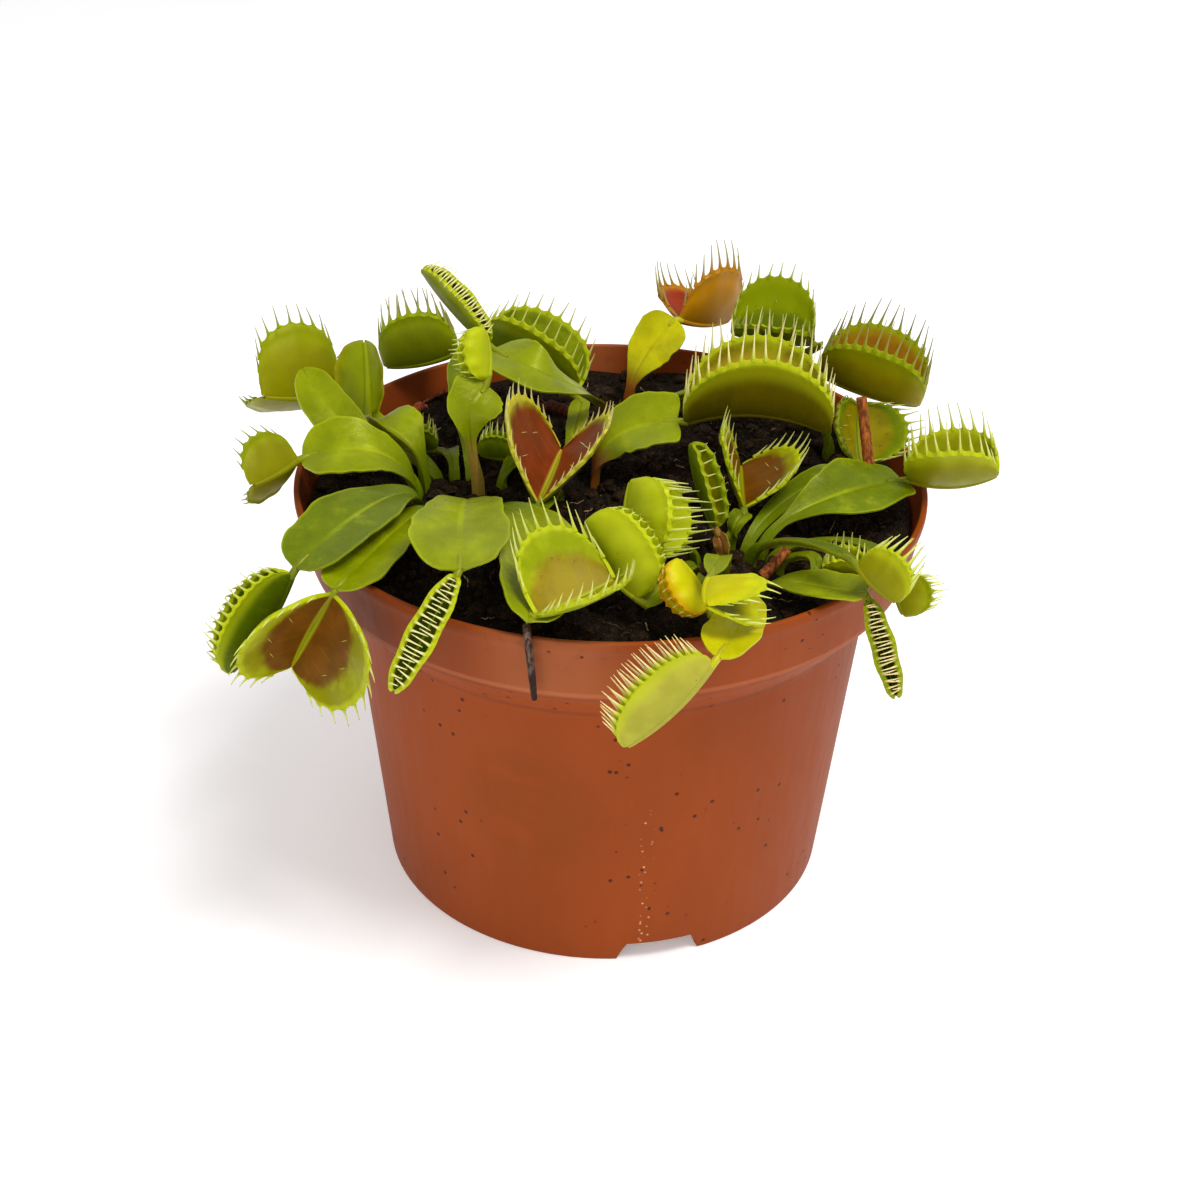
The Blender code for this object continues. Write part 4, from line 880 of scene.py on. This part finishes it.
def grow_neck(growth, leaf):
    """Neck and midrib in one bar, from inside the blade's end to the trap's tip."""
    path = stalk_path(leaf)
    mouth = trap_axes(leaf)[1]
    line = []
    for u in (0.93, 0.965, 1.0):
        place, heading = path_point(path, u)
        normal = square_to(seen(leaf["face"]), heading)
        line.append(place - normal * (0.5 * BLADE_THICK))
    count = 22
    for i in range(count + 1):
        line.append(lobe_point(leaf, 1, pi * i / count, 0.0) - mouth * 0.42)
    radii = list(NECK_RADII)
    scale = min(1.0, leaf["size"][0] / 12.0)
    radii += [0.36 + (0.32 + 0.12 * scale) * (1.0 - i / count) ** 0.7 for i in range(1, count + 1)]
    change = len(NECK_RADII), LOBE
    growth.tube(soften(line), soften(radii), BLADE, 10, along=(0.6, 0.6), across=0.3, later=change)


def soften(values):
    """Even out a row of points or numbers, ends kept."""
    inner = [(a + b * 2 + c) / 4 for a, b, c in zip(values, values[1:], values[2:])]
    return [values[0], *inner, values[-1]]


def lobe_normal(leaf, side, phi, k):
    """Unit normal of a lobe, away from the inside of the trap."""
    step = 0.01
    phi = min(max(phi, 0.06), pi - 0.06)
    low_k, high_k = max(k - step, 0.0), min(k + step, 1.0)
    rise = lobe_point(leaf, side, phi, high_k) - lobe_point(leaf, side, phi, low_k)
    turn = lobe_point(leaf, side, phi + step, k) - lobe_point(leaf, side, phi - step, k)
    along, mouth, across = trap_axes(leaf)
    if turn.length < 1e-6:
        turn = along
    normal = rise.cross(turn).normalized()
    gape, bulge = leaf["bite"]
    angle = radians(gape + bulge) - 2.0 * radians(bulge) * k
    away = across * (side * cos(angle)) - mouth * sin(angle)
    return normal if normal.dot(away) > 0 else -normal


def rim_shares(leaf, side):
    """How far along the rim's length each row of a lobe lies, 0 to 1."""
    lengths = lengths_along([lobe_point(leaf, side, lobe_angle(i), 1.0) for i in range(LOBE_ROWS + 1)])
    return [length / lengths[-1] for length in lengths]


def lobe_angle(row):
    """The phi of a row of points across a lobe, just short of its ends."""
    return pi * (0.004 + 0.992 * row / LOBE_ROWS)


def grow_lobes(growth, leaf, draw):
    """Both lobes of the trap with thick scalloped rims, their teeth and the trigger hairs."""
    for side in (1, -1):
        front, back = [], []
        count = tooth_count(leaf)
        offset = 0.5 if side > 0 else 0.0
        phase = draw.uniform(0.0, 6.0)
        for i, share in enumerate(rim_shares(leaf, side)):
            phi = lobe_angle(i)
            swell = sin(phi)
            step = (share - BARE_END) / (1.0 - 2.0 * BARE_END) * count - offset
            scallop = SCALLOP * cos(2 * pi * step)
            scallop *= smooth(0.0, BARE_END, min(share, 1.0 - share))
            rim = lobe_point(leaf, side, phi, 1.0)
            outward = (rim - lobe_point(leaf, side, phi, 0.9)).normalized()
            rows = [], []
            for j in range(LOBE_COLUMNS + 1):
                k = (j / LOBE_COLUMNS) ** 0.9
                point = lobe_point(leaf, side, phi, k)
                normal = lobe_normal(leaf, side, phi, k)
                flare = RIM_FLARE * smooth(0.84, 1.0, k) * swell
                ripple = LOBE_RIPPLE * smooth(0.3, 0.8, k) * sin(phi * 9.0 + phase) * swell
                lip = RIM_LIP * exp(-((k - 0.93) / 0.05) ** 2)
                thick = LOBE_THICK * (1.0 - 0.45 * smooth(0.95, 1.0, k)) + lip * swell
                inner = point + normal * (flare + ripple) + outward * (scallop * smooth(0.86, 1.0, k))
                spot = share, k
                rows[0].append(growth.add(inner - normal * (0.3 * lip), (*spot, 0.0)))
                rows[1].append(growth.add(inner + normal * thick, (*spot, 1.0)))
            front.append(rows[0])
            back.append(rows[1])
        growth.slab(front, back, LOBE)
        grow_teeth(growth, leaf, side, draw)
        if leaf["bite"][0] >= TRIGGERS_FROM_GAPE:
            grow_triggers(growth, leaf, side)


def tooth_count(leaf):
    """Teeth on one lobe, finer than the part's own."""
    return round(leaf["teeth"][0] * TEETH_PER_CAD_TOOTH)


def tooth_places(leaf, side):
    """Teeth of the two lobes alternate, so that they interlock when the trap shuts."""
    count = tooth_count(leaf)
    if side > 0:
        places = [(i + 0.5) / count for i in range(count)]
    else:
        places = [(i + 1.0) / count for i in range(count - 1)]
    return [BARE_END + (1.0 - 2.0 * BARE_END) * place for place in places]


def grow_teeth(growth, leaf, side, draw):
    """Fine teeth along one rim, longest and most curled at its middle."""
    tooth_length = leaf["teeth"][1]
    places = tooth_places(leaf, side)
    for place, phi in zip(places, rim_angles(leaf, side, places)):
        normal = lobe_normal(leaf, side, phi, 1.0)
        rim = lobe_point(leaf, side, phi, 1.0)
        outward = (rim - lobe_point(leaf, side, phi, 0.9)).normalized()
        inward = -normal
        swell = sin(pi * place)
        length = tooth_length * (0.55 + 0.45 * swell) * draw.uniform(0.86, 1.06)
        curl = radians(leaf["curl"]) * swell ** 0.5 * draw.uniform(0.8, 1.2)
        sway = (lobe_point(leaf, side, phi + 0.05, 1.0) - rim).normalized()
        outward = (outward + sway * draw.uniform(-0.13, 0.13)).normalized()
        inward = square_to(inward, outward)
        root = rim + normal * (RIM_FLARE * sin(phi) + 0.25)
        radius = min(0.42, 0.16 + 0.05 * tooth_length)
        tooth(growth, root, outward, inward, length, curl, radius)


def grow_triggers(growth, leaf, side):
    """Three short hairs stand on the inside of an open lobe."""
    for share, k in TRIGGER_PLACES:
        root = lobe_point(leaf, side, share * pi, k)
        inward = -lobe_normal(leaf, side, share * pi, k)
        path = [root + inward * height for height in TRIGGER_HEIGHTS]
        growth.tube(path, TRIGGER_RADII, BRISTLE, 5)


def make_leaf(leaf):
    """One leaf grown in one piece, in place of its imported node."""
    draw = random.Random(leaf["name"])
    blade, foot, rib, *trap = leaf["tones"].split()
    growth = Growth()
    grow_blade(growth, leaf, draw)
    materials = [blade_material(blade, foot, rib)]
    if trap:
        outside, inside, rim, tip = trap
        grow_neck(growth, leaf)
        grow_lobes(growth, leaf, draw)
        materials += [lobe_material(outside, inside, rim, leaf["spread"]), tooth_material(rim, tip)]
    thing = growth.build(leaf["name"].replace("leaf_", "trap_leaf_"), materials)
    settle(thing, "leaf_" + leaf["hue"], leaf["name"])


def body_radius(z):
    """Outer radius of the pot's tapering body."""
    return FOOT_RADIUS + (BODY_RADIUS_TOP - FOOT_RADIUS) * z / SHOULDER_Z


def rounded(outline, radii):
    """Replace each corner of an open outline by an arc-like curve of its own size."""
    steps = 5
    made = [outline[0]]
    for before, corner, after, size in zip(outline, outline[1:], outline[2:], radii[1:]):
        before, corner, after = Vector(before), Vector(corner), Vector(after)
        reach_in = min(size, 0.45 * (corner - before).length)
        reach_out = min(size, 0.45 * (after - corner).length)
        start = corner + (before - corner).normalized() * reach_in
        end = corner + (after - corner).normalized() * reach_out
        for i in range(steps + 1):
            t = i / steps
            made.append(tuple(start * (1 - t) ** 2 + corner * (2 * t * (1 - t)) + end * t ** 2))
    return made + [outline[-1]]


def pot_outline():
    """Half section of the pot from the middle of its underside to the middle of its floor."""
    corners = [
        ((1.0, FLOOR_Z), 0), ((body_radius(0) - 2.0, FLOOR_Z), 0.6), ((body_radius(0) - 1.6, 0.0), 0.3),
        ((body_radius(0), 0.0), 0.35), ((body_radius(FLOOR_Z), FLOOR_Z), 1.0),
        ((BODY_RADIUS_TOP, SHOULDER_Z), 1.6), ((RIM_BAND_RADIUS - 0.7, BAND_Z - 0.9), 1.2),
        ((RIM_BAND_RADIUS, BAND_Z), 0.5), ((RIM_RADIUS - 0.5, POT_HEIGHT - 3.0), 1.5),
        ((RIM_RADIUS, POT_HEIGHT - 1.6), 0.6), ((RIM_RADIUS, POT_HEIGHT), 0.5),
        ((RIM_RADIUS - LIP, POT_HEIGHT), 0.4), ((RIM_BAND_RADIUS - WALL, INNER_BAND_Z), 1.5),
        ((BODY_RADIUS_TOP - WALL, INNER_SHOULDER_Z), 1.5),
        ((body_radius(FLOOR_TOP) - WALL, FLOOR_TOP), 1.0), ((1.0, FLOOR_TOP), 0),
    ]
    return rounded([corner for corner, size in corners], [size for corner, size in corners])


def notch_share(angle):
    """1 inside one of the foot's three notches, 0 outside, with a narrow leaning end between."""
    half = radians(NOTCH_HALF_ANGLE)
    lean = radians(NOTCH_LEAN)
    turn = 2 * pi
    nearest = min(abs((angle - radians(middle) + pi) % turn - pi) for middle in NOTCH_ANGLES)
    return 1.0 - smooth(half - lean, half + lean, nearest)


def make_pot():
    """Fine turned pot; the notches lift the foot's edge, and drain holes pierce the floor."""
    growth = Growth()
    rings = []
    outline = pot_outline()
    for step, (radius, height) in enumerate(outline):
        ring = []
        for angle in turns(POT_SEGMENTS):
            z = height
            if radius > FOOT_RADIUS - 4.0 and height < NOTCH_HEIGHT:
                z = height + (NOTCH_HEIGHT - height) * notch_share(angle)
            swell = OUT_OF_ROUND * sin(3 * angle + 0.6) * smooth(40.0, POT_HEIGHT, z)
            out = radius + swell * smooth(40.0, 48.0, radius)
            place = Vector((*around(out, angle), z))
            ring.append(growth.add(place, (step / len(outline), 0.0, 0.0)))
        rings.append(ring + ring[:1])
    growth.grid(rings, 0)
    growth.face(rings[0][:-1], 0)
    growth.face(rings[-1][:-1], 0)
    pot = growth.build("flower_pot", [pot_material()])
    for angle in turns(DRAIN_COUNT, 0.5):
        place = around(DRAIN_RING_RADIUS, angle)
        tool = Growth()
        ends = [Vector((*place, FLOOR_Z - 2)), Vector((*place, FLOOR_TOP + 2))]
        tool.tube(ends, [DRAIN_RADIUS] * 2, 0, 32)
        cutter = tool.build("drain_cutter", [pot.data.materials[0]])
        cut = pot.modifiers.new("drain", "BOOLEAN")
        cut.operation = "DIFFERENCE"
        cut.solver = "EXACT"
        cut.object = cutter
        bpy.context.view_layer.objects.active = pot
        bpy.ops.object.modifier_apply(modifier=cut.name)
        bpy.data.objects.remove(cutter)
    pot.data.set_sharp_from_angle(angle=SHARP_ANGLE)
    settle(pot, "terracotta_plastic", "pot")


def inner_radius(z):
    """Inside radius of the pot at a height."""
    profile = ((FLOOR_TOP, body_radius(FLOOR_TOP) - WALL), (INNER_SHOULDER_Z, BODY_RADIUS_TOP - WALL),
               (INNER_BAND_Z, RIM_BAND_RADIUS - WALL), (POT_HEIGHT, RIM_RADIUS - LIP))
    for (z0, r0), (z1, r1) in zip(profile, profile[1:]):
        if z <= z1:
            return r0 + (r1 - r0) * (z - z0) / (z1 - z0)
    return profile[-1][1]


def crown_pits():
    """Centre, radius and floor height of the hollow round each crown."""
    pits = []
    for crown, (x, y) in CROWNS.items():
        rings = [leaf["ring"] for leaf in LEAVES if leaf["crown"] == crown]
        pits.append((x, y, max(rings) + PIT_MARGIN, pit_floor(crown)))
    return pits


PITS = crown_pits()
SOIL_RADIUS = inner_radius(SOIL_EDGE_Z) - 0.75


def ground(x, y):
    """Height of the finished peat surface: mound, hollows at the crowns and crumbs."""
    height = soil_height(x, y)
    for pit_x, pit_y, radius, floor in PITS:
        near = 1.0 - smooth(radius - 2.2, radius + 1.4, hypot(x - pit_x, y - pit_y))
        height += (floor + 0.9 - height) * near
    edge = 1.0 - smooth(SOIL_RADIUS - 3.0, SOIL_RADIUS, hypot(x, y))
    place = Vector((x, y, 0.0))
    lumps = noise.fractal(place * 0.22, 0.8, 2.1, 5)
    crumbs = noise.fractal(place * 0.75 + Vector((9, 4, 2)), 0.7, 2.2, 4)
    return height + edge * (1.0 * lumps + 0.8 * crumbs) - 0.4


def make_soil():
    """Peat that fills the pot, with a lumpy top."""
    growth = Growth()
    rings = []
    for height in (FLOOR_TOP + GAP, INNER_SHOULDER_Z, INNER_BAND_Z):
        radius = inner_radius(height) - (GAP + 0.2)
        ring = [Vector((*around(radius, angle), height)) for angle in turns(SOIL_SEGMENTS)]
        rings.append([growth.add(place) for place in ring])
    for ring in range(SOIL_RINGS, 0, -1):
        radius = SOIL_RADIUS * ring / SOIL_RINGS
        row = []
        for angle in turns(SOIL_SEGMENTS):
            x, y = around(radius, angle)
            row.append(growth.add(Vector((x, y, ground(x, y)))))
        rings.append(row)
    growth.grid([ring + ring[:1] for ring in rings], 0)
    growth.face(rings[0][::-1], 0)
    growth.face(rings[-1], 0)
    soil = growth.build("peat_fill", [peat_material("peat", dark=(13, 8, 4), light=(46, 29, 14))])
    settle(soil, "peat", "soil")


def on_ground(draw, margin):
    """A random place on the peat, away from the pot's wall."""
    radius = (SOIL_RADIUS - margin) * sqrt(draw.random())
    angle = draw.uniform(0.0, 2.0 * pi)
    return around(radius, angle)


def make_crumbs():
    """Loose crumbs of peat: small uneven lumps."""
    draw = random.Random(SEEDS["crumbs"])
    ball = bmesh.new()
    bmesh.ops.create_icosphere(ball, subdivisions=2, radius=1.0)
    ball.verts.index_update()
    corners = [vert.co.copy() for vert in ball.verts]
    faces = [[vert.index for vert in face.verts] for face in ball.faces]
    ball.free()
    growth = Growth()
    for _ in range(CRUMBS):
        x, y = on_ground(draw, 1.6)
        size = CRUMB_SIZE + CRUMB_GROWTH * draw.random() ** 4
        stretch = Vector((draw.uniform(0.7, 1.3), draw.uniform(0.7, 1.3), draw.uniform(0.5, 0.9)))
        middle = Vector((x, y, ground(x, y) + 0.2 * size))
        seed = Vector((draw.uniform(0, 50), draw.uniform(0, 50), 0))
        start = len(growth.points)
        for corner in corners:
            uneven = 1.0 + 0.45 * noise.noise(corner * 1.7 + seed)
            growth.add(middle + Vector(a * b for a, b in zip(corner, stretch)) * (size * uneven))
        for face in faces:
            growth.face([start + i for i in face], 0)
    finish = peat_material("peat_crumbs", dark=(18, 11, 5), light=(72, 46, 22))
    crumbs = growth.build("peat_crumbs", [finish])
    settle(crumbs, "peat")


def make_fibres():
    """Thin pale fibres and dark bits of root that lie on the peat."""
    draw = random.Random(SEEDS["fibres"])
    growth = Growth()
    for _ in range(FIBRES):
        x, y = on_ground(draw, 5.0)
        angle = draw.uniform(0, 2 * pi)
        bend = draw.uniform(-0.35, 0.35)
        length = draw.uniform(*FIBRE_LENGTHS)
        radius = draw.uniform(*FIBRE_RADII)
        paint = 0 if draw.random() < PALE_FIBRES else 1
        path = []
        count = 7
        for i in range(count):
            rise = 0.5 * sin(pi * i / (count - 1))
            path.append(Vector((x, y, ground(x, y) + 0.25 + rise * draw.random())))
            x += cos(angle) * length / count
            y += sin(angle) * length / count
            angle += bend
        growth.tube(path, [radius * 0.5, *[radius] * (count - 2), radius * 0.4], paint, 5)
    pale = dry_material("pale_fibre", dark=(110, 84, 52), light=(196, 170, 124))
    dark = dry_material("dark_fibre", dark=(40, 26, 16), light=(96, 68, 44))
    settle(growth.build("peat_fibres", [pale, dark]), "peat")


def along_line(points, radii, count):
    """Points and radii on a smooth curve through the given points."""
    places = [points[0], *points, points[-1]]
    found, sizes = [], []
    for step in range(count + 1):
        at = step / count * (len(points) - 1)
        i = min(int(at), len(points) - 2)
        t = at - i
        a, b, c, d = places[i:i + 4]
        found.append(0.5 * (2 * b + (c - a) * t + (2 * a - 5 * b + 4 * c - d) * t * t
                            + (3 * b - a - 3 * c + d) * t ** 3))
        sizes.append(radii[i] * (1 - t) + radii[i + 1] * t)
    return found, sizes


def make_stalks():
    """The cut stub, the dead stalk and the root over the rim, each uneven and streaked."""
    draw = random.Random(SEEDS["stalks"])
    for stalk in STALKS:
        path, radii = along_line([Vector(p) for p in stalk["path"]], stalk["radii"], 36)
        radii = [radius * draw.uniform(0.94, 1.03) for radius in radii]
        growth = Growth()
        growth.tube(path, radii, 0, 14)
        finish = dry_material(stalk["name"], stalk["dark"], stalk["light"], fade=stalk.get("fade"))
        settle(growth.build("dry_" + stalk["name"], [finish]), stalk["name"], stalk["name"])


def make_scraps():
    """Curled dry leaf scraps on the peat."""
    draw = random.Random(SEEDS["scraps"])
    for number, scrap in enumerate(SCRAPS):
        (x0, y0), (x1, y1) = scrap["start"], scrap["end"]
        path, radii = [], []
        count = 14
        for i in range(count + 1):
            t = i / count
            bow = SCRAP_BOW * sin(pi * t)
            x, y = x0 + (x1 - x0) * t + 0.5 * bow, y0 + (y1 - y0) * t + bow
            path.append(Vector((x, y, ground(x, y) + 0.5 + bow * 0.6)))
            fullness = 0.35 + 0.65 * sin(pi * (0.12 + 0.8 * t))
            radii.append(scrap["radius"] * fullness * draw.uniform(0.97, 1.03))
        growth = Growth()
        growth.tube(path, radii, 0, 10)
        name = f"dry_scrap_{number + 1}"
        finish = dry_material(name, scrap["dark"], scrap["light"])
        settle(growth.build(name, [finish]), "dead_stalk")


def make_pebbles():
    """Smooth tan seeds that lie between the stalks."""
    draw = random.Random(SEEDS["pebbles"])
    growth = Growth()
    for x, y, size in PEBBLES:
        turn = draw.uniform(0.0, pi)
        lie = Vector((cos(turn), sin(turn), 0.25)) * size
        middle = Vector((x, y, ground(x, y) + 0.6 * size))
        steps = [2 * i / 10 - 1 for i in range(11)]
        path = [middle + lie * step for step in steps]
        radii = [PEBBLE_SLIMNESS * size * sqrt(max(0.02, 1 - step ** 2)) for step in steps]
        growth.tube(path, radii, 0, 14)
    finish = dry_material("seed_coat", dark=(128, 78, 48), light=(188, 132, 96), stretch=(1.0, 1.0, 1.0))
    settle(growth.build("peat_seeds", [finish]), "peat")


def make_floor():
    """Plain pale floor, a little bright of its own so that the shadow stays soft."""
    mesh = bpy.data.meshes.new("studio_floor")
    mesh.from_pydata([(x * FLOOR_HALF, y * FLOOR_HALF, 0) for x, y in ((-1, -1), (1, -1), (1, 1), (-1, 1))],
                     [], [(0, 1, 2, 3)])
    m = Nodes("studio_floor")
    tone = m.tint(*FLOOR_TONES, m.noise(m.object_place(), 0.01), 0.3, 0.7)
    mesh.materials.append(m.finish(Base_Color=tone, Roughness=0.9, Specular_IOR_Level=0.1,
                                   Emission_Color=WHITE, Emission_Strength=FLOOR_GLOW))
    floor = new_object("studio_floor", mesh)


def make_light():
    """An even white surround and the two soft lights."""
    world = bpy.data.worlds.new("studio")
    world.use_nodes = True
    background = world.node_tree.nodes["Background"].inputs
    background["Color"].default_value = (*WHITE, 1.0)
    background["Strength"].default_value = SURROUND_STRENGTH
    bpy.context.scene.world = world
    for name, (place, target, size, watts) in LIGHTS.items():
        lamp = bpy.data.lights.new(name, "AREA")
        lamp.size = size
        lamp.energy = watts
        thing = new_object(name, lamp)
        thing.location = place
        thing.rotation_euler = (Vector(target) - Vector(place)).to_track_quat("-Z", "Y").to_euler()


def make_camera():
    """Camera at the photograph's place."""
    back = Vector((0.0, -cos(CAMERA_TILT), sin(CAMERA_TILT)))
    right = Vector((1.0, 0.0, 0.0))
    up = right.cross(-back)
    turned_right = right * cos(CAMERA_ROLL) + up * sin(CAMERA_ROLL)
    turned_up = up * cos(CAMERA_ROLL) - right * sin(CAMERA_ROLL)
    camera = bpy.data.cameras.new("photo_camera")
    camera.sensor_width = SENSOR_WIDTH
    camera.lens = LENS
    camera.clip_start = 0.01
    thing = new_object("photo_camera", camera)
    thing.matrix_world = Matrix((turned_right, turned_up, back)).transposed().to_4x4()
    thing.location = (Vector(CAMERA_AIM) + SHIFT + back * CAMERA_DISTANCE) * MM
    bpy.context.scene.camera = thing


make_pot()
make_soil()
make_crumbs()
make_fibres()
for leaf in LEAVES:
    make_leaf(leaf)
make_stalks()
make_scraps()
make_pebbles()
make_floor()
make_light()
make_camera()
bpy.context.scene.view_settings.view_transform = "Standard"
